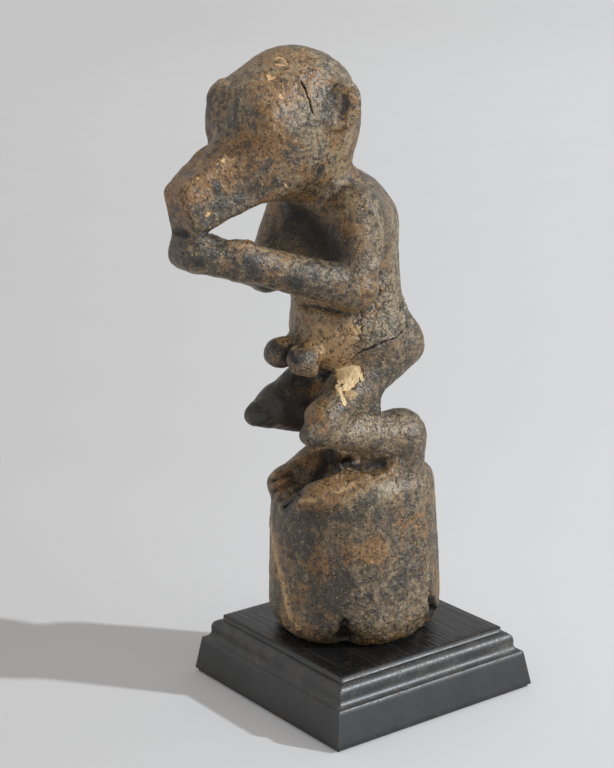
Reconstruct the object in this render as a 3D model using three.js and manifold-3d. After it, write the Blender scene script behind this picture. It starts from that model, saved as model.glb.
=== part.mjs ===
// A monkey carved in one piece with the stump that it squats on, standing on a moulded black plinth.
// Millimetres, +Z up. The figure faces -Y and its left side is +X. The origin is the middle of the
// underside, where the felt rests on the table.
import * as THREE from 'three';
import { mergeVertices } from 'three/addons/utils/BufferGeometryUtils.js';
import Module from 'manifold-3d';

const wasm = await Module();
wasm.setup();

// Plinth: a square block with a leaning side and a moulded edge
const plinthSide = 130;
const plinthHeight = 32.2;
const plinthLean = 3;
const sideHeight = 18.9;
const coveRadius = 3.8;
const roundRadius = 4.6;
const topEdgeHeight = 2.9;
const topEdgeStep = 0.3;

// Felt glued under the plinth
const feltThickness = 1.5;
const feltInset = 1.5;

// Steel pins that the figure stands on. The second stands behind the first, under the stump
const mainPinDiameter = 8;
const mainPinReach = 38;
const sidePinDiameter = 5;
const sidePinReach = 22;
const pinChamfer = 0.8;
const pinGap = 0.3;
const boreFloor = 8;
const seatGap = 0.3;

// Monkey: overall sizes that all its places are shares of. Its height is counted from the stump's top
const figureHeight = 225;
const figureWidth = 90;
const figureDepth = 150;

// Head
const craniumHalfWidth = 30;
const craniumHalfDepth = 36;
const craniumHalfHeight = 36;
const jawHalfWidth = 23;
const jawHalfDepth = 27;
const jawHalfHeight = 17;
const eyeRadius = 8;
const socketRadius = 6;
const muzzleRounding = 3.5;
const earThickness = 6;
const earDepth = 8.5;
const earHeight = 12;
const earHollow = 7;
const neckRadius = 18;

// Body
const shoulderHalfWidth = 33;
const shoulderHalfDepth = 17;
const shoulderHalfHeight = 18;
const chestRadius = 25;
const waistRadius = 28.5;
const chestHollow = 20;
const pelvisHalfWidth = 32;
const pelvisHalfDepth = 31;
const pelvisHalfHeight = 20;
const lobeRadius = 8.3;

// Limbs
const shoulderRadius = 10.5;
const elbowRadius = 10.2;
const wristRadius = 9.2;
const handRadius = 8.6;
const buttockRadius = 12.5;
const thighRadius = 10;
const kneeRadius = 5.5;
const calfRadius = 13.2;
const foldRadius = 7.5;
const ankleRadius = 10.5;
const footRadius = 9.5;
const toeRadius = 7;
const innerToeRadius = 6.5;

// Stump
const stumpRadius = 44;
const stumpHeight = 82;
const stumpEdge = 7;
const footTaper = 9;
const footTaperHeight = 14;
const cleftRadius = 4.5;
const nickRadius = 8;
const sawAllowance = 4;

// How softly the carved forms run into each other
const broadBlend = 16;
const armBlend = 12;
const limbBlend = 8;
const smallBlend = 4;

// Grid on which the carved surface is found. It reaches past the figure by shares of its sizes
const cell = 3;
const blockCells = 4;
const blockReachShare = 1.6;
const leastLevelShare = 1e-6;
const sideReachShare = 0.6;
const frontReachShare = 0.8;
const backReachShare = 0.4;

// Number of triangles that the surface is thinned to, and what stops an edge from going
const figureTriangles = 9000;
const leastTurnShare = 0.3;
const flatFormShare = 1e-5;

// Steps round the mouldings, and sides of the pins and their bores
const mouldingSteps = 6;
const rodSides = 24;

const plinthTop = feltThickness + plinthHeight;
const seat = plinthTop + seatGap;
const stumpTop = seat + stumpHeight;

// Places of the left side, +X, in shares of the figure's width, depth and height above the stump
const crownShares = [0, -0.26, 0.84];
const jawShares = [0, -0.387, 0.756];
const eyeInnerShares = [0.13, -0.473, 0.88];
const eyeOuterShares = [0.21, -0.447, 0.854];
const socketShares = [0.16, -0.553, 0.812];
const earShares = [0.325, -0.19, 0.877];
const earHollowShares = [0.39, -0.253, 0.874];
const neckTopShares = [0, -0.207, 0.741];
const neckFootShares = [0, -0.113, 0.649];
const shoulderMiddleShares = [0, -0.073, 0.604];
const chestShares = [0, -0.033, 0.582];
const waistShares = [0, -0.047, 0.4];
const chestHollowShares = [0, -0.3, 0.563];
const pelvisShares = [0, -0.02, 0.345];
const shoulderShares = [0.32, -0.135, 0.648];
const elbowShares = [0.37, -0.175, 0.483];
const wristShares = [0.155, -0.54, 0.559];
const handShares = [0.05, -0.665, 0.577];
const buttockShares = [0.2, 0.095, 0.318];
const thighShares = [0.222, -0.247, 0.18];
const kneeShares = [0.24, -0.307, 0.158];
const calfShares = [0.267, 0.053, 0.113];
const foldShares = [0.235, -0.07, 0.2];
const heelShares = [0.262, 0.058, 0.059];

// The right elbow and knee lie further forward than the left, and the feet differ
const rightElbowShares = [-0.35, -0.228, 0.482];
const rightKneeShares = [-0.24, -0.33, 0.164];
const leftFootShares = [0.26, -0.1, 0.018];
const leftToeShares = [0.18, -0.25, -0.003];
const innerFootShares = [0.11, -0.15, 0];
const innerToeShares = [0.085, -0.262, -0.018];
const rightFootShares = [-0.22, -0.1, 0.018];
const rightToeShares = [-0.225, -0.24, -0.007];

// Corners of the muzzle block
const noseTopShares = [0.1, -0.735, 0.718];
const lipShares = [0.133, -0.69, 0.618];
const bridgeShares = [0.089, -0.533, 0.813];
const chinBackShares = [0.222, -0.387, 0.696];

// Middle of a lobe in the lap, in shares of the pelvis's half sizes, counted from its middle
const lobeShares = [0.31, -1.26, -0.35];

// Stump: its middle, and its radius by direction, counted from +X towards +Y
const stumpMiddleShares = [0, -0.013, 0];
const stumpTopLeanShares = [0.1, 0.1];
const stumpTopShrinkShare = 0.07;
const stumpRadiusShares = [0.95, 1, 1.02, 1, 1, 1.08, 1.03, 0.93];
const cleftTopShares = [0.02, -0.1, 0.086];
const cleftFootShares = [0, -0.36, -0.017];
const frontNickShares = [0.59, -0.64, 0.01];
const sideNickShares = [0.82, 0.43, 0.04];

// Place of the second pin, in shares of the stump's radius
const pinSpacingShare = 0.5;

// A point of the monkey in millimetres
function place([x, y, z]) {
  return [x * figureWidth, y * figureDepth, stumpTop + z * figureHeight];
}

// The same place on the right side
function mirrored([x, y, z]) {
  return [-x, y, z];
}

// Distance forms. Each gives a function of x, y and z that is negative inside

function ellipsoid(shares, halfWidth, halfDepth, halfHeight) {
  const [cx, cy, cz] = place(shares);
  return (x, y, z) => {
    const px = (x - cx) / halfWidth;
    const py = (y - cy) / halfDepth;
    const pz = (z - cz) / halfHeight;
    const near = Math.sqrt(px * px + py * py + pz * pz);
    const slope = Math.hypot(px / halfWidth, py / halfDepth, pz / halfHeight);
    if (slope === 0) return -Math.min(halfWidth, halfDepth, halfHeight);
    return (near * (near - 1)) / slope;
  };
}

function ballAt([cx, cy, cz], radius) {
  return (x, y, z) => Math.hypot(x - cx, y - cy, z - cz) - radius;
}

function ball(shares, radius) {
  return ballAt(place(shares), radius);
}

// A limb with round ends and its own radius at each end
function limb(startShares, endShares, startRadius, endRadius) {
  const [ax, ay, az] = place(startShares);
  const [bx, by, bz] = place(endShares);
  const dx = bx - ax;
  const dy = by - ay;
  const dz = bz - az;
  const length2 = dx * dx + dy * dy + dz * dz;
  const shrink = startRadius - endRadius;
  const slant2 = Math.max(length2 - shrink * shrink, 0);
  return (x, y, z) => {
    const px = x - ax;
    const py = y - ay;
    const pz = z - az;
    const along = px * dx + py * dy + pz * dz;
    const past = along - length2;
    const ox = px * length2 - dx * along;
    const oy = py * length2 - dy * along;
    const oz = pz * length2 - dz * along;
    const off2 = ox * ox + oy * oy + oz * oz;
    const along2 = along * along * length2;
    const past2 = past * past * length2;
    const side = Math.sign(shrink) * shrink * shrink * off2;
    if (Math.sign(past) * slant2 * past2 > side) return Math.sqrt(off2 + past2) / length2 - endRadius;
    if (Math.sign(along) * slant2 * along2 < side) return Math.sqrt(off2 + along2) / length2 - startRadius;
    return (Math.sqrt((off2 * slant2) / length2) + along * shrink) / length2 - startRadius;
  };
}

// A convex block with rounded edges, from planes that each pass through three corners
function block(faces, rounding) {
  const corners = faces.flat().map((corner) => new THREE.Vector3(...place(corner)));
  const middle = corners.reduce((sum, corner) => sum.add(corner), new THREE.Vector3());
  middle.divideScalar(corners.length);
  const planes = faces.map((face) => {
    const plane = new THREE.Plane().setFromCoplanarPoints(
      ...face.map((corner) => new THREE.Vector3(...place(corner))),
    );
    return plane.distanceToPoint(middle) > 0 ? plane.negate() : plane;
  });
  return (x, y, z) => {
    let distance = -Infinity;
    for (const plane of planes) {
      const { normal, constant } = plane;
      const level = normal.x * x + normal.y * y + normal.z * z + constant;
      distance = distance === -Infinity ? level : carve(distance, level, rounding);
    }
    return distance;
  };
}

// Union of two distances with a fillet of the given width
function join(a, b, width) {
  if (Math.abs(a - b) >= width) return Math.min(a, b);
  const overlap = 1 - Math.abs(a - b) / width;
  return Math.min(a, b) - (overlap * overlap * width) / 4;
}

// Intersection with a fillet of the given width
function carve(a, b, width) {
  return -join(-a, -b, width);
}

// The cranium, jaw, eyes and muzzle, with a hollow under each eye and a cupped ear on each side
function makeHead() {
  const cranium = ellipsoid(crownShares, craniumHalfWidth, craniumHalfDepth, craniumHalfHeight);
  const jaw = ellipsoid(jawShares, jawHalfWidth, jawHalfDepth, jawHalfHeight);
  const eye = limb(eyeInnerShares, eyeOuterShares, eyeRadius, eyeRadius);
  const socket = ball(socketShares, socketRadius);
  const muzzle = block(
    [
      [noseTopShares, mirrored(noseTopShares), bridgeShares],
      [noseTopShares, mirrored(noseTopShares), lipShares],
      [lipShares, mirrored(lipShares), chinBackShares],
      [noseTopShares, lipShares, chinBackShares],
      [noseTopShares, lipShares, chinBackShares].map(mirrored),
      [bridgeShares, mirrored(bridgeShares), chinBackShares],
    ],
    muzzleRounding,
  );
  const ear = ellipsoid(earShares, earThickness, earDepth, earHeight);
  const hollow = ball(earHollowShares, earHollow);
  return (x, y, z) => {
    const side = Math.abs(x);
    let d = join(cranium(side, y, z), jaw(side, y, z), broadBlend);
    d = join(d, eye(side, y, z), broadBlend);
    d = join(d, muzzle(x, y, z), limbBlend);
    d = carve(d, -socket(side, y, z), smallBlend);
    const cup = carve(ear(side, y, z), -hollow(side, y, z), smallBlend);
    return join(d, cup, smallBlend);
  };
}

// Neck, shoulders, chest, waist and pelvis with the two lobes in the lap
function makeTorso() {
  const neck = limb(neckTopShares, neckFootShares, neckRadius, neckRadius);
  const shoulders = ellipsoid(
    shoulderMiddleShares, shoulderHalfWidth, shoulderHalfDepth, shoulderHalfHeight,
  );
  const trunk = limb(chestShares, waistShares, chestRadius, waistRadius);
  const hollow = ball(chestHollowShares, chestHollow);
  const pelvis = ellipsoid(pelvisShares, pelvisHalfWidth, pelvisHalfDepth, pelvisHalfHeight);
  const [px, py, pz] = place(pelvisShares);
  const [lx, ly, lz] = lobeShares;
  const lobe = ballAt(
    [px + lx * pelvisHalfWidth, py + ly * pelvisHalfDepth, pz + lz * pelvisHalfHeight], lobeRadius,
  );
  return (x, y, z) => {
    const side = Math.abs(x);
    let d = join(neck(x, y, z), shoulders(x, y, z), broadBlend);
    d = join(d, trunk(x, y, z), broadBlend);
    d = carve(d, -hollow(x, y, z), limbBlend);
    d = join(d, pelvis(x, y, z), limbBlend);
    return join(d, lobe(side, y, z), limbBlend);
  };
}

// One arm, from the shoulder to the hand that is closed under the muzzle
function makeArm(shoulder, elbow, wrist, hand) {
  const upperArm = limb(shoulder, elbow, shoulderRadius, elbowRadius);
  const forearm = limb(elbow, wrist, elbowRadius, wristRadius);
  const fist = limb(wrist, hand, wristRadius, handRadius);
  return (x, y, z) => {
    const d = join(upperArm(x, y, z), forearm(x, y, z), smallBlend);
    return join(d, fist(x, y, z), smallBlend);
  };
}

// One folded leg, down to the heel, with the fold behind the knee closed
function makeLeg(buttock, thigh, knee, calf, heel, fold) {
  const upperLeg = limb(buttock, thigh, buttockRadius, thighRadius);
  const kneecap = limb(thigh, knee, thighRadius, kneeRadius);
  const lowerLeg = limb(knee, calf, kneeRadius, calfRadius);
  const ankle = limb(calf, heel, calfRadius, ankleRadius);
  const foldFill = ball(fold, foldRadius);
  return (x, y, z) => {
    let d = join(upperLeg(x, y, z), kneecap(x, y, z), smallBlend);
    d = join(d, lowerLeg(x, y, z), smallBlend);
    d = join(d, foldFill(x, y, z), smallBlend);
    return join(d, ankle(x, y, z), smallBlend);
  };
}

function makeArms() {
  const left = makeArm(shoulderShares, elbowShares, wristShares, handShares);
  const right = makeArm(
    mirrored(shoulderShares), rightElbowShares, mirrored(wristShares), mirrored(handShares),
  );
  return (x, y, z) => join(left(x, y, z), right(x, y, z), smallBlend);
}

function makeLegs() {
  const left = makeLeg(
    buttockShares, thighShares, kneeShares, calfShares, heelShares, foldShares,
  );
  const right = makeLeg(
    mirrored(buttockShares), mirrored(thighShares), rightKneeShares, mirrored(calfShares),
    mirrored(heelShares), mirrored(foldShares),
  );
  return (x, y, z) => join(left(x, y, z), right(x, y, z), smallBlend);
}

// Radius of the stump in one direction
function stumpRadiusAt(angle) {
  const count = stumpRadiusShares.length;
  const turn = ((angle / (2 * Math.PI)) * count + count) % count;
  const first = Math.floor(turn) % count;
  const part = (1 - Math.cos((turn - Math.floor(turn)) * Math.PI)) / 2;
  const share = stumpRadiusShares[first] * (1 - part) + stumpRadiusShares[(first + 1) % count] * part;
  return share * stumpRadius;
}

// The stump with both feet on it, a cleft between them and the worn rim at its foot
function makeStump() {
  const [cx, cy] = place(stumpMiddleShares);
  const leftFoot = limb(heelShares, leftFootShares, ankleRadius, footRadius);
  const leftToes = limb(leftFootShares, leftToeShares, footRadius, toeRadius);
  const innerToes = limb(innerFootShares, innerToeShares, innerToeRadius, innerToeRadius);
  const rightFoot = limb(mirrored(heelShares), rightFootShares, ankleRadius, footRadius);
  const rightToes = limb(rightFootShares, rightToeShares, footRadius, toeRadius);
  const cleft = limb(cleftTopShares, cleftFootShares, cleftRadius, cleftRadius);
  const [frontNick, sideNick] = [frontNickShares, sideNickShares].map(([nx, ny, nz]) => ballAt(
    [cx + nx * stumpRadius, cy + ny * stumpRadius, seat + nz * stumpHeight], nickRadius,
  ));
  return (x, y, z) => {
    const px = x - cx;
    const py = y - cy;
    const worn = Math.max(1 - (z - seat) / footTaperHeight, 0);
    const shrink = 1 - stumpTopShrinkShare * ((z - seat) / stumpHeight) ** 2;
    const radius = shrink * stumpRadiusAt(Math.atan2(py, px)) - footTaper * worn * worn;
    const wall = Math.hypot(px, py) - radius;
    const lid = z - stumpTop - px * stumpTopLeanShares[0] - py * stumpTopLeanShares[1];
    let d = Math.max(carve(wall, lid, stumpEdge), seat - sawAllowance - z);
    d = join(d, join(leftFoot(x, y, z), leftToes(x, y, z), smallBlend), limbBlend);
    d = join(d, innerToes(x, y, z), limbBlend);
    d = join(d, join(rightFoot(x, y, z), rightToes(x, y, z), smallBlend), limbBlend);
    d = carve(d, -cleft(x, y, z), smallBlend);
    d = carve(d, -frontNick(x, y, z), smallBlend);
    return carve(d, -sideNick(x, y, z), smallBlend);
  };
}

// The whole carving as one distance
function makeFigure() {
  const head = makeHead();
  const torso = makeTorso();
  const arms = makeArms();
  const legs = makeLegs();
  const stump = makeStump();
  return (x, y, z) => {
    let d = join(torso(x, y, z), arms(x, y, z), armBlend);
    d = join(d, head(x, y, z), limbBlend);
    d = join(d, legs(x, y, z), limbBlend);
    return join(d, stump(x, y, z), limbBlend);
  };
}

// Six tetrahedra that fill a cube, all along its long diagonal, as steps from its first corner
const axisOrders = [[1, 2, 4], [1, 4, 2], [2, 1, 4], [2, 4, 1], [4, 1, 2], [4, 2, 1]];
const evenOrders = [true, false, false, true, true, false];
const tetrahedra = axisOrders.map(([a, b], index) => {
  const corners = [0, a, a + b, 7];
  return evenOrders[index] ? corners : [0, a + b, a, 7];
});

// Corners of one tetrahedron with those inside first, still turning the same way
function sortCorners(corners, isInside) {
  const order = [0, 1, 2, 3].sort((p, q) => isInside[q] - isInside[p] || p - q);
  let swaps = 0;
  for (let i = 0; i < 4; i += 1) {
    for (let j = i + 1; j < 4; j += 1) swaps += order[i] > order[j] ? 1 : 0;
  }
  if (swaps % 2 === 1) {
    const inside = isInside.filter(Boolean).length;
    const first = inside === 3 ? 0 : inside;
    [order[first], order[first + 1]] = [order[first + 1], order[first]];
  }
  return order.map((index) => corners[index]);
}

// Closed surface where the distance is zero, found on a grid of cubes cut into tetrahedra
function polygonize(distance, box) {
  const counts = ['x', 'y', 'z'].map((axis) => Math.ceil((box.max[axis] - box.min[axis]) / cell) + 1);
  const [nx, ny, nz] = counts;
  const values = sampleGrid(distance, box, counts);
  const cubeCorners = [0, 1, 2, 3, 4, 5, 6, 7];
  const steps = cubeCorners.map((c) => (c & 1) + ((c >> 1) & 1) * nx + ((c >> 2) & 1) * nx * ny);
  const known = new Map();
  const positions = [];
  const triangles = [];
  const position = (index) => [
    box.min.x + (index % nx) * cell,
    box.min.y + (Math.floor(index / nx) % ny) * cell,
    box.min.z + Math.floor(index / (nx * ny)) * cell,
  ];
  const crossing = (a, b) => {
    const low = Math.min(a, b);
    const high = Math.max(a, b);
    const key = low * values.length + high;
    if (known.has(key)) return known.get(key);
    const part = values[low] / (values[low] - values[high]);
    const from = position(low);
    const to = position(high);
    known.set(key, positions.length / 3);
    for (let axis = 0; axis < 3; axis += 1) positions.push(from[axis] + part * (to[axis] - from[axis]));
    return positions.length / 3 - 1;
  };
  for (let k = 0; k < nz - 1; k += 1) {
    for (let j = 0; j < ny - 1; j += 1) {
      for (let i = 0; i < nx - 1; i += 1) {
        const base = i + nx * (j + ny * k);
        let inside = 0;
        for (let c = 0; c < 8; c += 1) inside += values[base + steps[c]] < 0 ? 1 : 0;
        if (inside > 0 && inside < 8) {
          for (const corners of tetrahedra) {
            cutTetrahedron(corners.map((c) => base + steps[c]), values, crossing, triangles);
          }
        }
      }
    }
  }
  return { positions, triangles };
}

// One or two triangles across a tetrahedron whose corners lie on both sides
function cutTetrahedron(corners, values, crossing, triangles) {
  const isInside = corners.map((corner) => (values[corner] < 0 ? 1 : 0));
  const inside = isInside[0] + isInside[1] + isInside[2] + isInside[3];
  if (inside === 0 || inside === 4) return;
  const [a, b, c, d] = sortCorners(corners, isInside);
  if (inside === 1) {
    triangles.push([crossing(a, b), crossing(a, c), crossing(a, d)]);
  } else if (inside === 3) {
    triangles.push([crossing(d, a), crossing(d, b), crossing(d, c)]);
  } else {
    const [ac, ad] = [crossing(a, c), crossing(a, d)];
    const [bd, bc] = [crossing(b, d), crossing(b, c)];
    triangles.push([ac, ad, bd], [ac, bd, bc]);
  }
}

// Distances on the grid. Blocks of cubes far from the surface are filled with one value
function sampleGrid(distance, box, [nx, ny, nz]) {
  const reach = blockCells * cell * blockReachShare;
  const half = (blockCells * cell) / 2;
  const values = new Float64Array(nx * ny * nz);
  for (let k0 = 0; k0 < nz; k0 += blockCells) {
    for (let j0 = 0; j0 < ny; j0 += blockCells) {
      for (let i0 = 0; i0 < nx; i0 += blockCells) {
        const level = distance(
          box.min.x + i0 * cell + half, box.min.y + j0 * cell + half, box.min.z + k0 * cell + half,
        );
        for (let k = k0; k < Math.min(k0 + blockCells, nz); k += 1) {
          for (let j = j0; j < Math.min(j0 + blockCells, ny); j += 1) {
            for (let i = i0; i < Math.min(i0 + blockCells, nx); i += 1) {
              const value = Math.abs(level) > reach ? level
                : distance(box.min.x + i * cell, box.min.y + j * cell, box.min.z + k * cell);
              values[i + nx * (j + ny * k)] = value || leastLevelShare * cell;
            }
          }
        }
      }
    }
  }
  return values;
}

// Cost of a spot: its squared distances to the planes round it, as ten numbers of a symmetric form
function formCost(q, x, y, z) {
  return q[0] * x * x + 2 * q[1] * x * y + 2 * q[2] * x * z + 2 * q[3] * x + q[4] * y * y
    + 2 * q[5] * y * z + 2 * q[6] * y + q[7] * z * z + 2 * q[8] * z + q[9];
}

// The place that costs least when an edge is drawn together
function bestPlace(q, from, to) {
  const middle = [0, 1, 2].map((axis) => (from[axis] + to[axis]) / 2);
  const determinant = q[0] * (q[4] * q[7] - q[5] * q[5]) - q[1] * (q[1] * q[7] - q[5] * q[2])
    + q[2] * (q[1] * q[5] - q[4] * q[2]);
  const span = Math.hypot(from[0] - to[0], from[1] - to[1], from[2] - to[2]);
  const size = q[0] + q[4] + q[7];
  if (Math.abs(determinant) < flatFormShare * size * size * size) return middle;
  const [rx, ry, rz] = [-q[3], -q[6], -q[8]];
  const spot = [
    (rx * (q[4] * q[7] - q[5] * q[5]) - q[1] * (ry * q[7] - q[5] * rz) + q[2] * (ry * q[5] - q[4] * rz))
      / determinant,
    (q[0] * (ry * q[7] - q[5] * rz) - rx * (q[1] * q[7] - q[5] * q[2]) + q[2] * (q[1] * rz - ry * q[2]))
      / determinant,
    (q[0] * (q[4] * rz - ry * q[5]) - q[1] * (q[1] * rz - ry * q[2]) + rx * (q[1] * q[5] - q[4] * q[2]))
      / determinant,
  ];
  const away = Math.hypot(spot[0] - middle[0], spot[1] - middle[1], spot[2] - middle[2]);
  return away > span ? middle : spot;
}

// A queue that hands out its cheapest entry first
class Queue {
  constructor() {
    this.items = [];
  }

  push(item) {
    const { items } = this;
    items.push(item);
    let at = items.length - 1;
    while (at > 0) {
      const parent = (at - 1) >> 1;
      if (items[parent].cost <= items[at].cost) break;
      [items[parent], items[at]] = [items[at], items[parent]];
      at = parent;
    }
  }

  pop() {
    const { items } = this;
    const first = items[0];
    const last = items.pop();
    if (items.length === 0) return first;
    items[0] = last;
    let at = 0;
    for (;;) {
      let child = 2 * at + 1;
      if (child >= items.length) break;
      if (child + 1 < items.length && items[child + 1].cost < items[child].cost) child += 1;
      if (items[at].cost <= items[child].cost) break;
      [items[child], items[at]] = [items[at], items[child]];
      at = child;
    }
    return first;
  }
}

// Corners and flat faces of a closed surface, with what is needed to draw its edges together
class Surface {
  constructor({ positions, triangles }) {
    this.points = Float64Array.from(positions);
    this.corners = Int32Array.from(triangles.flat());
    this.count = positions.length / 3;
    this.around = Array.from({ length: this.count }, () => []);
    this.forms = new Float64Array(this.count * 10);
    this.mark = new Int32Array(this.count);
    this.marks = 0;
    for (let t = 0; t < this.corners.length / 3; t += 1) this.addFace(t);
  }

  // Notes a face at its corners, and adds its plane to the costs of moving them
  addFace(t) {
    const { points, corners, forms } = this;
    const v = corners[3 * t];
    const normal = this.faceNormal(t, -1, null);
    const area = Math.hypot(...normal) || 1;
    const [a, b, c] = normal.map((value) => value / area);
    const d = -(a * points[3 * v] + b * points[3 * v + 1] + c * points[3 * v + 2]);
    const terms = [a * a, a * b, a * c, a * d, b * b, b * c, b * d, c * c, c * d, d * d];
    for (let side = 0; side < 3; side += 1) {
      const corner = corners[3 * t + side];
      this.around[corner].push(t);
      for (let term = 0; term < 10; term += 1) forms[corner * 10 + term] += area * terms[term];
    }
  }

  // Normal of a face, as it would be with one corner moved to another spot
  faceNormal(t, moved, spot) {
    const { points, corners } = this;
    const [a, b, c] = [0, 1, 2].map((side) => {
      const v = corners[3 * t + side];
      return v === moved ? spot : [points[3 * v], points[3 * v + 1], points[3 * v + 2]];
    });
    const [ux, uy, uz] = [b[0] - a[0], b[1] - a[1], b[2] - a[2]];
    const [vx, vy, vz] = [c[0] - a[0], c[1] - a[1], c[2] - a[2]];
    return [uy * vz - uz * vy, uz * vx - ux * vz, ux * vy - uy * vx];
  }

  has(t, v) {
    const { corners } = this;
    return corners[3 * t] === v || corners[3 * t + 1] === v || corners[3 * t + 2] === v;
  }

  neighbours(v) {
    this.marks += 1;
    this.mark[v] = this.marks;
    const found = [];
    for (const t of this.around[v]) {
      for (let side = 0; side < 3; side += 1) {
        const w = this.corners[3 * t + side];
        if (this.mark[w] !== this.marks) found.push(w);
        this.mark[w] = this.marks;
      }
    }
    return found;
  }

  // Whether an edge can go without pinching the surface or turning a face over
  canDraw(a, b, spot) {
    const beside = this.neighbours(a);
    if (!beside.includes(b)) return false;
    const shared = this.neighbours(b).filter((v) => beside.includes(v)).length;
    return shared === 2 && !this.turnsOver(a, b, spot) && !this.turnsOver(b, a, spot);
  }

  turnsOver(v, other, spot) {
    return this.around[v].some((t) => {
      if (this.has(t, other)) return false;
      const before = this.faceNormal(t, -1, null);
      const after = this.faceNormal(t, v, spot);
      const dot = before[0] * after[0] + before[1] * after[1] + before[2] * after[2];
      return dot < leastTurnShare * Math.hypot(...before) * Math.hypot(...after);
    });
  }

  // Draws corner b into corner a. Gives the number of faces that go
  draw(a, b, spot) {
    const { corners, around, forms, points } = this;
    let gone = 0;
    for (const t of around[b]) {
      if (this.has(t, a)) {
        for (let side = 0; side < 3; side += 1) {
          const v = corners[3 * t + side];
          if (v !== b) around[v] = around[v].filter((face) => face !== t);
          corners[3 * t + side] = -1;
        }
        gone += 1;
      } else {
        for (let side = 0; side < 3; side += 1) if (corners[3 * t + side] === b) corners[3 * t + side] = a;
        around[a].push(t);
      }
    }
    around[b] = [];
    points.set(spot, 3 * a);
    for (let term = 0; term < 10; term += 1) forms[a * 10 + term] += forms[b * 10 + term];
    return gone;
  }

  // The faces that are left, with their corners numbered afresh
  arrays() {
    const numbers = new Map();
    const vertProperties = [];
    const triVerts = [];
    for (const v of this.corners) {
      if (v >= 0) {
        if (!numbers.has(v)) {
          numbers.set(v, numbers.size);
          vertProperties.push(...this.points.subarray(3 * v, 3 * v + 3));
        }
        triVerts.push(numbers.get(v));
      }
    }
    return { vertProperties, triVerts };
  }
}

// Thins a closed surface to the wanted number of triangles, drawing the cheapest edges together
function thin(raw, wanted) {
  const surface = new Surface(raw);
  const { forms, points, count, around } = surface;
  const version = new Int32Array(count);
  const queue = new Queue();
  const price = (a, b) => {
    const form = forms.slice(a * 10, a * 10 + 10);
    for (let term = 0; term < 10; term += 1) form[term] += forms[b * 10 + term];
    const spot = bestPlace(form, points.subarray(3 * a, 3 * a + 3), points.subarray(3 * b, 3 * b + 3));
    queue.push({ cost: formCost(form, ...spot), a, b, spot, stamp: version[a] + version[b] });
  };
  for (let v = 0; v < count; v += 1) {
    for (const w of surface.neighbours(v)) if (v < w) price(v, w);
  }
  let left = raw.triangles.length;
  while (left > wanted && queue.items.length > 0) {
    const { a, b, spot, stamp } = queue.pop();
    const current = version[a] + version[b] === stamp && around[a].length > 0 && around[b].length > 0;
    if (current && surface.canDraw(a, b, spot)) {
      left -= surface.draw(a, b, spot);
      version[a] += 1;
      version[b] += 1;
      for (const v of surface.neighbours(a)) price(a, v);
    }
  }
  return surface.arrays();
}

// Solids for joining and cutting
function solidFromArrays(vertProperties, triVerts) {
  return new wasm.Manifold(new wasm.Mesh({
    numProp: 3,
    vertProperties: new Float32Array(vertProperties),
    triVerts: new Uint32Array(triVerts),
  }));
}

function solidFromGeometry(geometry) {
  const bare = geometry.clone();
  bare.deleteAttribute('normal');
  bare.deleteAttribute('uv');
  const merged = mergeVertices(bare);
  return solidFromArrays(merged.attributes.position.array, merged.index.array);
}

function geometryFromSolid(solid) {
  const mesh = solid.getMesh();
  const geometry = new THREE.BufferGeometry();
  geometry.setAttribute('position', new THREE.BufferAttribute(new Float32Array(mesh.vertProperties), 3));
  geometry.setIndex(new THREE.BufferAttribute(new Uint32Array(mesh.triVerts), 1));
  geometry.computeVertexNormals();
  return geometry;
}

// An upright pin or bore with small end chamfers
function rodGeometry(radius, bottom, top, chamfer) {
  const profile = [
    new THREE.Vector2(0, bottom),
    new THREE.Vector2(radius - chamfer, bottom),
    new THREE.Vector2(radius, bottom + chamfer),
    new THREE.Vector2(radius, top - chamfer),
    new THREE.Vector2(radius - chamfer, top),
    new THREE.Vector2(0, top),
  ];
  return new THREE.LatheGeometry(profile, rodSides).rotateX(Math.PI / 2);
}

// Both pins: where each stands, its radius and its two ends
const pinFoot = feltThickness + boreFloor + pinGap;
const pinSpacing = pinSpacingShare * stumpRadius;
const pins = [
  { name: 'main_pin', y: 0, radius: mainPinDiameter / 2, top: seat + mainPinReach },
  { name: 'locating_pin', y: pinSpacing, radius: sidePinDiameter / 2, top: seat + sidePinReach },
];

// The bore that one pin runs in, through the seat from the plinth into the figure
function boreSolid({ y, radius, top }) {
  const bore = rodGeometry(radius + pinGap, pinFoot - pinGap, top + pinGap, pinChamfer);
  return solidFromGeometry(bore.translate(0, y, 0));
}

function makeFigureGeometry() {
  const margin = 2 * cell;
  const side = sideReachShare * figureWidth;
  const front = frontReachShare * figureDepth;
  const back = backReachShare * figureDepth;
  const box = new THREE.Box3(
    new THREE.Vector3(-side, -front, seat - sawAllowance - margin),
    new THREE.Vector3(side, back, stumpTop + figureHeight + 2 * margin),
  );
  const raw = polygonize(makeFigure(), box);
  const { vertProperties, triVerts } = thin(raw, figureTriangles);
  let solid = solidFromArrays(vertProperties, triVerts);
  const under = new THREE.BoxGeometry(2 * side, 2 * front, 2 * seat);
  solid = solid.subtract(solidFromGeometry(under));
  for (const pin of pins) solid = solid.subtract(boreSolid(pin));
  return geometryFromSolid(solid);
}

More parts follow.
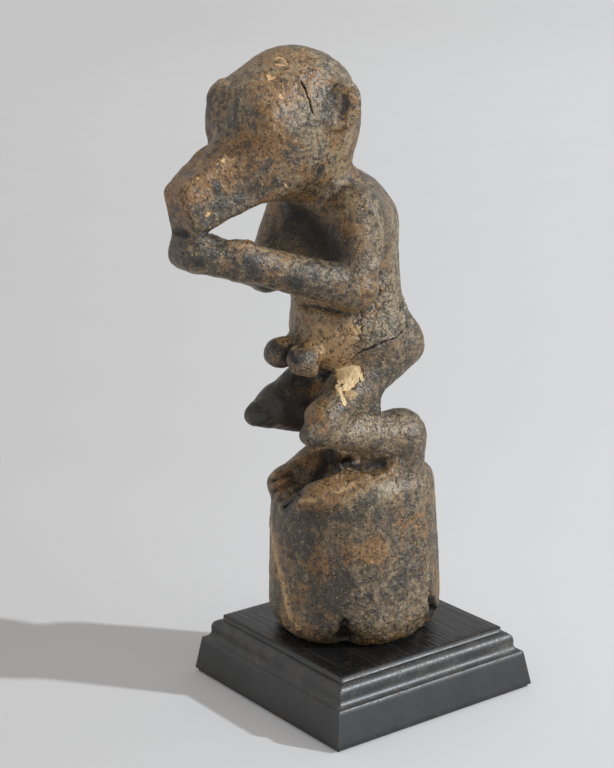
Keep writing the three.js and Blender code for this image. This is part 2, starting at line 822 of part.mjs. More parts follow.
// Outline of the plinth's side: half its side at each height, from the underside up
function plinthOutline() {
  const bottom = feltThickness;
  const half = plinthSide / 2;
  const ledge = bottom + sideHeight;
  const top = bottom + plinthHeight;
  const coveOut = half - plinthLean;
  const coveIn = coveOut - coveRadius;
  const roundTop = top - topEdgeHeight;
  const roundIn = coveIn - roundRadius;
  const outline = [new THREE.Vector2(0, bottom), new THREE.Vector2(half, bottom)];
  for (let s = 0; s <= mouldingSteps; s += 1) {
    const angle = (s / mouldingSteps) * (Math.PI / 2);
    outline.push(new THREE.Vector2(
      coveOut - coveRadius * Math.sin(angle), ledge + coveRadius * (1 - Math.cos(angle)),
    ));
  }
  for (let s = 0; s <= mouldingSteps; s += 1) {
    const angle = (s / mouldingSteps) * (Math.PI / 2);
    outline.push(new THREE.Vector2(
      roundIn + roundRadius * Math.cos(angle), roundTop - roundRadius * (1 - Math.sin(angle)),
    ));
  }
  outline.push(
    new THREE.Vector2(roundIn - topEdgeStep, roundTop),
    new THREE.Vector2(roundIn - topEdgeStep, top),
    new THREE.Vector2(0, top),
  );
  return outline;
}

// A lathe with four sides gives a square block with mitred mouldings
function makePlinthGeometry() {
  const outline = plinthOutline().map((p) => new THREE.Vector2(p.x * Math.SQRT2, p.y));
  const turned = new THREE.LatheGeometry(outline, 4, Math.PI / 4).rotateX(Math.PI / 2);
  let solid = solidFromGeometry(turned);
  for (const pin of pins) solid = solid.subtract(boreSolid(pin));
  return geometryFromSolid(solid);
}

function makeFeltGeometry() {
  const side = plinthSide - 2 * feltInset;
  return new THREE.BoxGeometry(side, side, feltThickness).translate(0, 0, feltThickness / 2);
}

function makeMesh(name, geometry, colour, roughness, metalness) {
  const material = new THREE.MeshStandardMaterial({ color: colour, roughness, metalness });
  const mesh = new THREE.Mesh(geometry, material);
  mesh.name = name;
  return mesh;
}

const model = new THREE.Group();
model.add(makeMesh('carved_figure', makeFigureGeometry(), '#6f5a43', 0.75, 0));
model.add(makeMesh('plinth', makePlinthGeometry(), '#232425', 0.35, 0));
for (const pin of pins) {
  const rod = makeMesh(pin.name, rodGeometry(pin.radius, pinFoot, pin.top, pinChamfer), '#8d9094', 0.35, 1);
  rod.position.y = pin.y;
  model.add(rod);
}
model.add(makeMesh('base_felt', makeFeltGeometry(), '#1c1c1d', 1, 0));

export default model;
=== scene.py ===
import math

import bmesh
import bpy
import numpy as np
from mathutils import Matrix, Vector
from mathutils.bvhtree import BVHTree


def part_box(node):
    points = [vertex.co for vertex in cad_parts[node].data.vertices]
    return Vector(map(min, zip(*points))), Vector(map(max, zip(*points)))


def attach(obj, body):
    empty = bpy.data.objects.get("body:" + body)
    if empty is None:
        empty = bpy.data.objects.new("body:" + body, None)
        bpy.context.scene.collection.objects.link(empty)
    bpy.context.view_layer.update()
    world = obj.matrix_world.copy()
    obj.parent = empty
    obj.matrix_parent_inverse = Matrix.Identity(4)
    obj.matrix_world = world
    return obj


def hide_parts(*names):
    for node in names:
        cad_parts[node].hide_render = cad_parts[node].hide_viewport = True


MM = 0.001

# The photograph's frame and the camera that took it, fitted to the plinth's edges
PHOTO_WIDTH = 614
PHOTO_HEIGHT = 768
FOCAL_PIXELS = 1800
SENSOR = 36
EYE = Vector((0.716374, -0.552230, 0.402545))
AZIMUTH = 54.047
ELEVATION = 14.689
ROLL = math.radians(-0.985)
NEAREST = 0.05
FARTHEST = 60

# The carved surface: its squares, rounds of smoothing with a step in and one out, and how wide a band
# beside the cracks is split, and how often
VOXEL = 1.25 * MM
SMOOTH_ROUNDS = 16
SMOOTH_STEPS = (0.55, -0.57)
CRACK_BAND = 1.7 * MM
NET_BAND = 0.8 * CRACK_BAND
CRACK_ROUNDS = 2

# The worked wood: height and size in millimetres, noise seed and octaves
WAVES = (0.5, 24, 11, 2)
LUMPS = (0.42, 4.4, 31, 3)
GRAIN = (0.55, 3.2, 41, 2)
RAGGED_FOOT = (1.0, 7, 45, 2)
GRAIN_STRETCH = 10
FACET_SIZE = 8 * MM
FACET_HEIGHT = 0.3 * MM

# Heights above the seat between which the stump's grain, ragged foot and splay end, and all work begins
STUMP_FADE = (88 * MM, 74 * MM)
FOOT_FADE = (14 * MM, 3 * MM)
SPLAY_FADE = (9 * MM, 1.5 * MM)
SEAT_FADE = (1 * MM, 4 * MM)

# The foot's level part, and its splay as a share, which grows outward
SEAT_FLAT = 0.8 * MM
SPLAY = 0.05
SPLAY_FROM = (18 * MM, 30 * MM)

# The flank's net of fine cracks, and what is missing from the surface
CRACKLE_SIZE = 6.4 * MM
CRACKLE_DEPTH = 0.5 * MM
CRACKLE_SEED = 51
PUFFED = 0.3 * MM
PIT_SIZE = 6.5 * MM
PIT_DEPTH = 0.45 * MM
BARE_DEPTH = 0.45 * MM
CHIP_DEPTH = 0.3 * MM

# Rays that find the hollows, where the wood's colour is darkened as painted shade
HOLLOW_RAYS = 16
HOLLOW_SEED = 5
HOLLOW_START = 1.6 * MM
HOLLOW_REACH = 40 * MM
HOLLOW_ROUNDS = 6
HOLLOW_GAIN = 1.6

# The studio: tints of paper, lamps and world, and how bright the world and its backdrop are
PAPER_TINT = (0.93, 1.0, 1.1)
LIGHT_TINT = (0.94, 1.0, 1.06)
WORLD_TINT = (1.01, 0.965, 0.93)
WORLD_LEVEL = 0.48
BACKDROP_LEVEL = 0.565

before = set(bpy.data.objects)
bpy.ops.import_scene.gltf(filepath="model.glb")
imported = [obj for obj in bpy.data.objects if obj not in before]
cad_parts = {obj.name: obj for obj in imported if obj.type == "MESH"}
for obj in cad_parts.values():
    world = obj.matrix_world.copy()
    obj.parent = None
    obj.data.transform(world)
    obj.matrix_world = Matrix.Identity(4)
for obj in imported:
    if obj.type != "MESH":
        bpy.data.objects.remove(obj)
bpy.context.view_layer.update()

# The pins' bores, and how high above the seat the wood round them stays plain
BORE_CLEARANCE = 0.3 * MM
BORE_HEIGHT = 42 * MM
BORE_EDGE = 0.5 * MM
BORE_SIDES = 48


def pin_bore(node):
    """Middle and radius of the bore round a pin."""
    low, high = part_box(node)
    middle = np.array([(low.x + high.x) / 2, (low.y + high.y) / 2])
    return middle, (high.x - low.x) / 2 + BORE_CLEARANCE


BORES = [pin_bore("main_pin"), pin_bore("locating_pin")]


def beyond_bores(points):
    """How far each point lies outside the nearest bore, seen from above."""
    flat = points[:, :2]
    return np.minimum.reduce([np.linalg.norm(flat - middle, axis=1) - radius for middle, radius in BORES])


# The camera

def direction(azimuth, elevation):
    """The way from the object that two angles give, in degrees, with azimuth from -Y towards +X."""
    a, e = math.radians(azimuth), math.radians(elevation)
    return Vector((math.sin(a) * math.cos(e), -math.cos(a) * math.cos(e), math.sin(e)))


def camera_axes():
    back = direction(AZIMUTH, ELEVATION)
    level = direction(AZIMUTH + 90, 0)
    upright = back.cross(level)
    right = level * math.cos(ROLL) + upright * math.sin(ROLL)
    up = upright * math.cos(ROLL) - level * math.sin(ROLL)
    return right, up, back


RIGHT, UP, BACK = camera_axes()


def make_camera():
    data = bpy.data.cameras.new("camera")
    data.sensor_width = SENSOR
    data.lens = SENSOR * FOCAL_PIXELS / PHOTO_HEIGHT
    data.clip_start = NEAREST
    data.clip_end = FARTHEST
    camera = new_piece("camera", data)
    rows = [[RIGHT[i], UP[i], BACK[i], EYE[i]] for i in range(3)]
    camera.matrix_world = Matrix(rows + [[0, 0, 0, 1]])
    bpy.context.scene.camera = camera


def photo_ray(pixel):
    """The camera's ray through a pixel of the photograph."""
    x = (pixel[0] - PHOTO_WIDTH / 2) / FOCAL_PIXELS
    y = (PHOTO_HEIGHT / 2 - pixel[1]) / FOCAL_PIXELS
    return (RIGHT * x + UP * y - BACK).normalized()


# Noise

# Large odd numbers that make a cell's place look like chance
HASH_X, HASH_Y, HASH_Z, HASH_SEED = (np.int64(n) for n in (374761393, 668265263, 1440662683, 974634777))
HASH_STEPS = ((15, 2246822519), (13, 3266489917))
HASH_BITS = np.uint64(0xFFFFFFFF)
HASH_RANGE = 0xFFFF


def hashed(ix, iy, iz, seed):
    """A number from 0 to 1 for each whole-number cell."""
    h = ix * HASH_X + iy * HASH_Y + iz * HASH_Z
    h = (h + np.int64(seed) * HASH_SEED).astype(np.uint64) & HASH_BITS
    for shift, factor in HASH_STEPS:
        h = ((h ^ (h >> np.uint64(shift))) * np.uint64(factor)) & HASH_BITS
    return ((h ^ (h >> np.uint64(16))) & np.uint64(HASH_RANGE)).astype(float) / HASH_RANGE


def soft_noise(points, wavelength, seed):
    """Smooth noise from -1 to 1."""
    p = points / wavelength
    base = np.floor(p).astype(np.int64)
    part = p - base
    part = part * part * (3 - 2 * part)
    total = np.zeros(len(points))
    for corner in np.ndindex(2, 2, 2):
        weight = np.prod(np.where(corner, part, 1 - part), axis=1)
        cell = base + corner
        total += weight * hashed(cell[:, 0], cell[:, 1], cell[:, 2], seed)
    return total * 2 - 1


def rough_noise(points, wavelength, seed, octaves=3):
    """Noise with finer and finer detail, from about -1 to 1."""
    total = np.zeros(len(points))
    for octave in range(octaves):
        total += soft_noise(points, wavelength / 2 ** octave, seed + octave) / 2 ** octave
    return total / (2 - 2 ** (1 - octaves))


def uneven(points, height, size, seed, octaves):
    """Noise as heights, from a height and a size in millimetres."""
    return height * MM * rough_noise(points, size * MM, seed, octaves)


def axis_noise(points, wavelength, seed):
    """Smooth noise for each of the three axes."""
    return np.stack([soft_noise(points, wavelength, seed + axis) for axis in range(3)], axis=1)


def cell_noise(points, size, seed):
    """Distances to the two nearest of many scattered spots, in cell sizes, and the nearest's own number."""
    p = points / size
    base = np.floor(p).astype(np.int64)
    first = np.full(len(points), np.inf)
    second = np.full(len(points), np.inf)
    number = np.zeros(len(points))
    for step in np.ndindex(3, 3, 3):
        cell = base + step - 1
        x, y, z = cell.T
        spot = cell + np.stack([hashed(x, y, z, seed + s) for s in (1, 2, 3)], axis=1)
        away = np.linalg.norm(p - spot, axis=1)
        nearer = away < first
        second = np.where(nearer, first, np.minimum(second, away))
        number = np.where(nearer, hashed(x, y, z, seed + 4), number)
        first = np.where(nearer, away, first)
    return first, second, number


def fade(low, high, value):
    """A smooth step from 0 at low to 1 at high."""
    part = np.clip((value - low) / (high - low), 0, 1)
    return part * part * (3 - 2 * part)


# Meshes

def new_piece(name, data, material=None):
    """A new object in the scene, of mesh, camera or light data."""
    if material:
        data.materials.append(material)
    piece = bpy.data.objects.new(name, data)
    bpy.context.scene.collection.objects.link(piece)
    return piece


def mesh_from(name, points, faces):
    mesh = bpy.data.meshes.new(name)
    mesh.from_pydata(points, [], faces)
    mesh.update()
    return mesh


def circle(middle, radius, height, sides):
    """Points round a level circle."""
    turns = [2 * math.pi * k / sides for k in range(sides)]
    return [(middle[0] + radius * math.cos(t), middle[1] + radius * math.sin(t), height) for t in turns]


def band(start, count):
    """Faces between the ring of points that starts at a number and the ring that follows it."""
    pairs = [(start + k, start + (k + 1) % count) for k in range(count)]
    return [(a, b, b + count, a + count) for a, b in pairs]


def finish_mesh(mesh, masks):
    """Stores the masks that the material reads, and smooths the shading."""
    for name, values in masks.items():
        layer = mesh.attributes.new(name, "FLOAT", "POINT")
        layer.data.foreach_set("value", values.astype(np.float32))
    mesh.polygons.foreach_set("use_smooth", np.ones(len(mesh.polygons), bool))


def ray_tree(mesh):
    return BVHTree.FromPolygons([v.co[:] for v in mesh.vertices], [tuple(p.vertices) for p in mesh.polygons])


def remeshed(source, voxel):
    """A copy of an object's mesh, made again from small even squares."""
    copy = new_piece("remesh_source", source.data.copy())
    copy.data.materials.clear()
    modifier = copy.modifiers.new("voxels", "REMESH")
    modifier.mode = "VOXEL"
    modifier.voxel_size = voxel
    modifier.adaptivity = 0
    graph = bpy.context.evaluated_depsgraph_get()
    mesh = bpy.data.meshes.new_from_object(copy.evaluated_get(graph))
    bpy.data.objects.remove(copy)
    return mesh


def distance_to_line(points, line):
    """Distance of each point to a line of straight stretches, and how far along it that is, from 0 to 1."""
    best = np.full(len(points), np.inf)
    along = np.zeros(len(points))
    if len(line) == 1:
        return np.linalg.norm(points - line[0], axis=1), along
    lengths = np.linalg.norm(np.diff(line, axis=0), axis=1)
    starts = np.concatenate([[0], np.cumsum(lengths)])
    for a, b, start, length in zip(line[:-1], line[1:], starts, lengths):
        way = (b - a) / max(length, 1e-9)
        t = np.clip((points - a) @ way, 0, length)
        away = np.linalg.norm(points - a - t[:, None] * way, axis=1)
        nearer = away < best
        best = np.where(nearer, away, best)
        along = np.where(nearer, (start + t) / starts[-1], along)
    return best, along


def gathered(parts, name, width, kind=float):
    """A property of many parts of a mesh, a row for each."""
    values = np.empty(len(parts) * width, kind)
    parts.foreach_get(name, values)
    return values.reshape(-1, width)


class Surface:
    """A mesh as arrays, to be shaped point by point."""

    def __init__(self, mesh):
        self.mesh = mesh
        self.read()

    def read(self):
        self.co = gathered(self.mesh.vertices, "co", 3)
        self.edges = gathered(self.mesh.edges, "vertices", 2, np.int64)
        self.degree = np.maximum(np.bincount(self.edges.ravel(), minlength=len(self.co)), 1)

    def write(self):
        self.mesh.vertices.foreach_set("co", self.co.ravel())
        self.mesh.update()

    def spread(self, values):
        """The mean of each point's neighbours."""
        a, b = self.edges.T
        count = len(self.co)
        total = np.bincount(a, values[b], count) + np.bincount(b, values[a], count)
        return total / self.degree

    def smooth(self, rounds):
        """Smooths without shrinking."""
        for _ in range(rounds):
            for share in SMOOTH_STEPS:
                mean = np.stack([self.spread(self.co[:, axis]) for axis in range(3)], axis=1)
                self.co += share * (mean - self.co)

    def normals(self):
        self.write()
        return gathered(self.mesh.vertices, "normal", 3)

    def push(self, heights):
        """Moves each point along its normal."""
        self.co += self.normals() * np.asarray(heights)[:, None]

    def refine(self, near, rounds):
        """Splits the faces where near(points) is true, so that narrow cuts have points to stand on."""
        self.write()
        for _ in range(rounds):
            work = bmesh.new()
            work.from_mesh(self.mesh)
            points = np.array([v.co[:] for v in work.verts])
            chosen = near(points)
            edges = [e for e in work.edges if chosen[e.verts[0].index] or chosen[e.verts[1].index]]
            bmesh.ops.subdivide_edges(work, edges=edges, cuts=1, use_grid_fill=True)
            many = [f for f in work.faces if len(f.verts) > 4]
            bmesh.ops.triangulate(work, faces=many)
            work.to_mesh(self.mesh)
            work.free()
        self.mesh.update()
        self.read()


# The carved figure

# Marks on the figure: how far a mark reaches to either side and how high it is, in millimetres, then pixels
# of the photograph along it. The first list is made on both sides of the head
HEAD_MARKS = [
    (2.8, 1.3, (337, 90), (345, 85), (353, 86), (358, 94), (359, 105), (357, 116), (351, 124), (341, 128),
     (332, 127)),
    (6.2, -1.5, (345, 97), (346, 106), (342, 116)), (2, 0.8, (339, 89), (346, 85), (352, 85)),
    (2.2, 0.9, (334, 127), (344, 123), (352, 117)), (4.5, 1, (208, 97), (213, 90), (222, 88), (233, 92)),
    (5, 1.2, (237, 92), (250, 86), (266, 88), (276, 96)), (7, -1.2, (246, 104), (253, 112), (258, 124)),
    (5, -1.1, (230, 130), (223, 143), (213, 155)),
]
BODY_MARKS = [
    (13, 1.8, (333, 66), (343, 75)), (6, 0.6, (236, 140), (262, 132), (288, 134)),
    (5, 1.2, (228, 243), (240, 240), (250, 243)), (2.2, -0.6, (205, 238), (218, 244), (232, 250)),
    (2.4, 1.2, (273, 475), (290, 469)), (2.1, -2.2, (272, 481), (281, 478), (293, 473)),
    (2.4, 1.2, (273, 486), (292, 478)), (2.1, -2.2, (274, 491), (284, 487), (296, 481)),
    (2.4, 1.2, (278, 495), (295, 487)), (2.1, -2.2, (279, 501), (288, 496), (299, 489)),
    (2.6, -1.7, (172, 231), (186, 235), (200, 236), (207, 233)),
    (2.4, -0.9, (190, 240), (193, 252), (190, 266)),
    (2.6, 1.5, (293, 507), (330, 507), (347, 499), (378, 478), (392, 472)),
    (5, -4.5, (346, 464), (358, 467), (371, 467), (383, 464)), (3, -1.6, (383, 463), (402, 458)),
    (2.8, 1.4, (318, 484), (335, 478), (352, 467)), (4.5, 1.4, (401, 299), (404, 308), (404, 317)),
    (2.4, -1.3, (408, 326), (400, 328)),
    (3.6, 1.2, (368, 206), (377, 220), (381, 240), (380, 256), (373, 270)),
    (3.2, -1.1, (384, 214), (387, 240), (386, 262), (380, 282)),
    (3, -1.6, (302, 305), (318, 307), (336, 311), (356, 315), (371, 308), (380, 293)),
    (6, 2, (312, 372), (322, 377)), (5, -1.1, (298, 346), (312, 345)),
    (2.6, -1.6, (292, 350), (296, 361), (293, 371)), (2.4, -0.9, (304, 357), (313, 356)),
    (6, -1.7, (305, 408), (302, 424)), (6, 1.4, (322, 377), (317, 392)), (5, 1.8, (377, 411), (385, 409)),
    (17, -1.9, (311, 515), (311, 570), (314, 612)), (17, -1.6, (398, 505), (400, 560), (397, 605)),
    (9, 1.3, (349, 505), (352, 560), (352, 620)), (3, 0.9, (287, 540), (290, 580), (296, 618)),
    (4.4, -5.6, (344, 624), (345, 638)), (4.2, -3.4, (431, 600), (432, 611)),
    (3, -1, (374, 640), (376, 646)), (3, -1.1, (300, 627), (303, 634)),
]
CRACKS = [
    (0.62, -1.7, (301, 81), (305, 88), (308, 97), (311, 107), (313, 114)),
    (0.35, -0.6, (313, 114), (316, 128), (317, 138), (320, 148)),
    (0.7, -1.8, (402, 331), (397, 338), (383, 342), (373, 347), (365, 350), (357, 354)),
    (0.5, -1.2, (357, 354), (350, 360), (343, 365), (332, 372), (327, 378)),
    (0.5, -1.1, (373, 312), (382, 308), (384, 302), (392, 301), (398, 296)),
    (0.4, -0.8, (383, 296), (383, 308), (388, 320)), (0.6, -1.3, (405, 312), (405, 324), (402, 332)),
    (0.45, -0.9, (360, 349), (352, 345), (346, 350)), (0.6, -1.1, (303, 367), (312, 371), (325, 377)),
    (1.3, -2, (283, 508), (291, 501), (300, 494)),
]
# Where the colour differs, some of it painted shade and highlights: how far around, in millimetres, then
# pixels of the photograph
BARE = [
    (2.4, (338, 373), (354, 370)), (3.2, (342, 378), (353, 378)), (2, (347, 387), (352, 383)),
    (1.2, (335, 376), (338, 386), (343, 397), (345, 403)), (0.8, (359, 368), (361, 374), (363, 380)),
]
FRAYED = [(2.1, (270, 528), (276, 560), (283, 584), (287, 604), (298, 627))]
# Tan patches; at the belly they also paint in light that the arm's shadow keeps off it
TAN = [
    (8, (322, 334), (335, 350), (330, 368)), (6, (345, 345), (345, 362)), (3.5, (284, 340), (294, 347)),
    (5, (352, 330), (338, 338)), (3, (341, 390), (352, 395)), (1.6, (300, 501), (318, 499)),
    (1.5, (338, 492), (352, 484)), (2, (330, 466), (352, 464)),
    (3.4, (271, 528), (277, 560), (283, 585), (288, 606), (299, 628)),
]
CHIPS = [
    (0.75, (275, 59), (279, 57)), (0.7, (283, 58), (286, 61)), (0.7, (276, 64), (281, 65)),
    (0.6, (284, 66), (287, 64)), (1.05, (268, 75), (270, 79), (273, 77)), (1, (281, 96), (282, 98)),
    (0.6, (296, 84)), (0.6, (317, 83)), (0.5, (302, 98)), (0.7, (218, 163), (224, 160)), (0.6, (198, 178)),
    (0.5, (283, 182), (287, 186)), (0.5, (262, 184), (262, 187)), (0.8, (206, 216), (209, 214)),
    (0.6, (265, 250), (268, 251)),
]
RUST = [
    (6, (172, 206), (186, 200)), (10, (212, 172), (240, 152), (262, 146)),
    (13, (235, 78), (262, 66), (290, 62)), (12, (350, 168), (347, 135)),
    (9, (300, 320), (330, 345), (335, 360)), (8, (280, 100), (300, 90)),
    (3.5, (270, 540), (276, 570), (285, 590), (299, 625)), (6, (318, 393), (313, 412)),
    (9, (304, 312), (322, 318)), (3, (318, 484), (335, 478), (352, 467)), (4, (340, 462), (358, 460)),
    (3.5, (348, 92), (350, 115)), (5, (200, 175), (185, 188)), (2.6, (285, 198), (310, 199)),
    (5, (388, 405), (372, 425)), (5, (300, 500), (345, 490), (385, 468)), (6, (318, 560), (322, 576)),
    (5, (350, 555), (376, 551)), (6, (215, 165), (236, 150)), (4.5, (330, 455), (352, 465)),
    (3, (290, 360), (297, 385)), (5, (315, 75), (330, 78)), (8, (345, 205), (352, 230)),
]
# Dark crust; at the hands these dark marks also paint in shade
BLACK = [
    (3.8, (217, 187)), (6, (282, 152), (308, 166)), (5, (212, 262), (262, 276)),
    (4.5, (222, 203), (250, 196), (280, 186)), (3.4, (197, 208), (203, 222)), (2.8, (322, 168), (318, 175)),
    (3.6, (249, 271)), (2, (275, 276)), (3.2, (294, 287)), (2.6, (246, 108), (256, 124)),
    (4, (207, 100), (211, 120)), (4, (304, 434), (320, 442)), (2.5, (262, 262), (240, 258)),
    (6.5, (267, 350), (283, 368)), (7, (302, 350), (320, 372)), (3, (176, 245), (180, 258)),
    (4, (283, 520), (283, 550)), (8, (342, 568), (328, 600)), (3, (392, 588), (408, 572)),
    (7, (300, 545), (290, 590)), (4, (290, 517), (320, 518), (352, 515), (368, 500)),
    (5, (310, 612), (325, 622)), (2, (300, 168), (296, 171)), (3, (215, 255), (235, 262)),
    (2.2, (284, 122), (276, 106)), (4, (245, 145), (262, 165)), (5, (186, 224), (194, 212)),
    (9, (222, 258), (300, 280)), (8, (385, 520), (410, 545)), (7, (172, 212), (184, 232)),
    (9, (176, 246), (215, 262)),
]
# Dark grime, with painted shade: on the far thigh, the chest under the jaw, under the calf, in the notches
# and along the grooves
GRIME_AND_PAINTED_SHADE = [
    (15, (262, 410), (285, 398), (303, 420)), (13.5, (298, 216), (314, 232), (332, 248)),
    (4, (326, 456), (338, 466)), (3, (344, 463), (358, 466), (371, 466), (382, 463)),
    (3.6, (285, 507), (300, 493), (318, 476), (330, 452)), (5.5, (345, 622), (345, 638)),
    (3.4, (431, 600), (432, 612)), (6, (290, 375), (302, 385)), (3, (285, 357), (288, 366)),
    (3, (200, 262), (250, 288), (268, 292)), (1.6, (172, 232), (186, 236), (200, 237), (208, 233)),
    (1.1, (273, 481), (293, 474)), (1.1, (275, 491), (296, 482)), (1.1, (280, 500), (299, 489)),
    (1.6, (336, 85)), (1.2, (302, 305), (318, 307), (336, 311), (356, 315), (371, 308)),
    (2, (324, 380), (330, 372)), (2.2, (290, 352), (295, 362)), (1.8, (345, 97), (347, 105), (343, 113)),
    (3.6, (249, 263), (254, 271)), (3.6, (293, 281), (297, 283)), (3.4, (320, 170)), (3.2, (218, 190)),
]
# Pale wear, and painted highlights: along the ear's ridges and the upper arm, on the calf's top, the crown,
# the far knee and a patch on the stump, with painted light on the belly
WEAR_AND_HIGHLIGHTS = [
    (11, (304, 308), (318, 330)), (4.5, (380, 222), (380, 262)), (8, (352, 428), (395, 430)),
    (8, (322, 62), (340, 78)), (9, (305, 115), (318, 145)), (8, (350, 500), (385, 490)),
    (3, (271, 527), (277, 560), (285, 582), (288, 604), (300, 627)), (2.4, (428, 560), (427, 600)),
    (7, (330, 160), (345, 180)), (9, (394, 215), (398, 285)), (4, (265, 250), (300, 262)),
    (8, (325, 345), (350, 335)), (7, (385, 320), (362, 322)), (2.5, (247, 414), (249, 410)),
    (9, (240, 80), (262, 68), (290, 64)), (5, (345, 150), (352, 128)), (8, (352, 202), (374, 216)),
    (1.8, (339, 88), (346, 84), (353, 85)), (2, (334, 127), (344, 123), (352, 117)),
    (9, (300, 330), (312, 335)), (11, (360, 325), (400, 305)), (5, (316, 395), (312, 410)),
]
# The sides that the photograph doesn't show: the same, with guessed x, y and z in millimetres
UNSEEN_RUST = [
    (15, (-14, 20, 268), (10, 21, 250)), (12, (8, 22, 215), (-6, 24, 200)),
    (13, (-10, 0, 318), (8, -2, 305)), (10, (20, 22, 130)), (15, (-22, 34, 95), (-10, 40, 80)),
    (13, (18, 38, 60), (26, 30, 48)), (14, (-38, 5, 80), (-34, -20, 60)), (9, (-32, 5, 240), (-30, 8, 215)),
]
UNSEEN_BLACK = [
    (13, (16, 18, 270), (20, 18, 245)), (14, (-16, 22, 220), (-14, 24, 195)), (11, (12, -4, 322)),
    (9, (-20, 20, 132)), (15, (10, 40, 100), (20, 36, 85)), (15, (-20, 34, 55), (-5, 40, 45)),
    (11, (-38, 0, 105), (-40, 8, 50)), (9, (-30, 0, 268)), (10, (-28, -30, 300)),
]
UNSEEN_WORN = [
    (13, (0, 24, 232)), (11, (18, 27, 185)), (11, (-18, 27, 180)), (10, (0, -2, 332)), (10, (-26, 14, 262)),
    (7, (22, 20, 136)), (13, (0, 40, 70)), (11, (-32, 28, 78)), (10, (-34, -28, 92)),
]
FLANK = [(360, 326), (380, 314), (404, 312)]
FLANK_REACH = 13.0 * MM

# The colour layers: marks, how ragged and how wide their edge is, noise seed, mirrored or not, and strength
COLOUR_LAYERS = {
    "bare": [(BARE, 0.35, 0.25, 81, False, 1), (FRAYED, 1.0, 0.6, 82, False, 0.41)],
    "tan": [(TAN, 0.5, 0.8, 83, False, 1)],
    "chip": [(CHIPS, 0.5, 0.3, 85, False, 1)],
    "rust": [(RUST, 0.4, 0.8, 87, True, 1), (UNSEEN_RUST, 0.6, 0.8, 87, False, 0.55)],
    "black": [(BLACK, 0.9, 0.7, 89, True, 1), (UNSEEN_BLACK, 0.9, 0.7, 89, False, 0.65)],
    "lightened": [(WEAR_AND_HIGHLIGHTS, 0.4, 0.8, 93, True, 1), (UNSEEN_WORN, 0.6, 0.8, 93, False, 0.65)],
    "grime_and_painted_shade": [(GRIME_AND_PAINTED_SHADE, 0.3, 0.8, 95, False, 1)],
}
EDGE_SIZE = 5 * MM


class Carving(Surface):
    """The figure's surface, worked at places that are given as pixels of the photograph."""

    def find_places(self):
        """Keeps the surface as it is now, for the rays that place the marks."""
        self.write()
        self.tree = ray_tree(self.mesh)

    def line(self, places):
        """Points on the figure, from pixels of the photograph, or from x, y and z in millimetres."""
        hits = [Vector(p) * MM if len(p) == 3 else self.tree.ray_cast(EYE, photo_ray(p))[0] for p in places]
        return np.array([hit[:] for hit in hits if hit is not None])

    def lines(self, places, mirrored):
        """The line through some places, and its mirror image if asked."""
        line = self.line(places)
        return [line, line * np.array([-1, 1, 1])] if mirrored else [line]

    def mark(self, marks, mirrored=False):
        """Raises or cuts the surface along marks."""
        for reach, height, *places in marks:
            for line in self.lines(places, mirrored):
                away, _ = distance_to_line(self.co, line)
                self.push(height * MM * fade(0, 1, 1 - away / (reach * MM)))

    def cover(self, marks, ragged, spread, seed, mirrored):
        """A mask over some marks. Its edge is ragged, and fades over twice the spread."""
        total = np.zeros(len(self.co))
        edge = 1 + ragged * rough_noise(self.co, EDGE_SIZE, seed)
        for reach, *places in marks:
            for line in self.lines(places, mirrored):
                away, _ = distance_to_line(self.co, line)
                total = np.maximum(total, fade(1 + spread, 1 - spread, away / (reach * MM) / edge))
        return total


def work_wood(surface, seat):
    """Adds waves, tool facets, lumps and grain, with a ragged foot. The seat and the bores stay plain."""
    co = surface.co.copy()
    height = co[:, 2] - seat
    plain = (beyond_bores(co) < 0.9 * MM) & (height < BORE_HEIGHT)
    worked = np.where(plain, 0, fade(*SEAT_FADE, height))
    bent = co + 2.5 * MM * soft_noise(co, 9 * MM, 3)[:, None]
    first, second, number = cell_noise(bent, FACET_SIZE, 21)
    facets = FACET_HEIGHT * (number - 0.5) * fade(0, 0.3, second - first)
    grain = uneven(co * np.array([1, 1, 1 / GRAIN_STRETCH]), *GRAIN) * fade(*STUMP_FADE, height)
    ragged = uneven(co, *RAGGED_FOOT) * fade(*FOOT_FADE, height)
    surface.push((uneven(co, *WAVES) + facets + uneven(co, *LUMPS) + grain + ragged) * worked)
    splayed = fade(*SPLAY_FADE, height) * fade(*SPLAY_FROM, np.linalg.norm(co[:, :2], axis=1))
    surface.co[:, :2] *= 1 + (SPLAY * splayed)[:, None]


def crackle(points):
    """Distance to the nearest crack of a net of cracks."""
    size = CRACKLE_SIZE
    bent = points + 0.45 * size * axis_noise(points, size, CRACKLE_SEED + 7)
    bent += 0.09 * size * axis_noise(points, 0.3 * size, CRACKLE_SEED + 17)
    first, second, _ = cell_noise(bent, size, CRACKLE_SEED)
    return (second - first) * size / 2


def crack_wood(surface):
    """Splits the faces beside the cracks. Gives each point's depth in a crack, its share in the flank's
    fine net, and how far it is puffed up between."""
    cracks = [(surface.line(places), reach * MM, depth * MM) for reach, depth, *places in CRACKS]
    flank = surface.line(FLANK)

    def flank_share(points):
        away, _ = distance_to_line(points, flank)
        edge = 1 + 0.3 * rough_noise(points, 9 * MM, 61)
        return fade(1.25, 0.7, away / FLANK_REACH / edge)

    def by_a_crack(points):
        close = (flank_share(points) > 0.15) & (crackle(points) < NET_BAND)
        for line, _, _ in cracks:
            close |= distance_to_line(points, line)[0] < CRACK_BAND
        return close

    surface.refine(by_a_crack, CRACK_ROUNDS)
    co = surface.co.copy()
    wobbly = co + 0.35 * MM * axis_noise(co, 2.2 * MM, 71)
    cut = np.zeros(len(co))
    for line, reach, depth in cracks:
        away, along = distance_to_line(wobbly, line)
        narrow = reach * (0.55 + 0.45 * np.sqrt(np.clip(4 * along * (1 - along), 0, 1)))
        cut = np.minimum(cut, depth * fade(1, 0, away / narrow))
    share = flank_share(co)
    net = crackle(co)
    opened = fade(-0.45, 0.35, soft_noise(co, 4.5 * MM, 53)) * share
    crackled = opened * fade(0.3 * MM, 0.02 * MM, net)
    return cut, crackled, PUFFED * share * fade(0.2 * MM, 1.4 * MM, net)


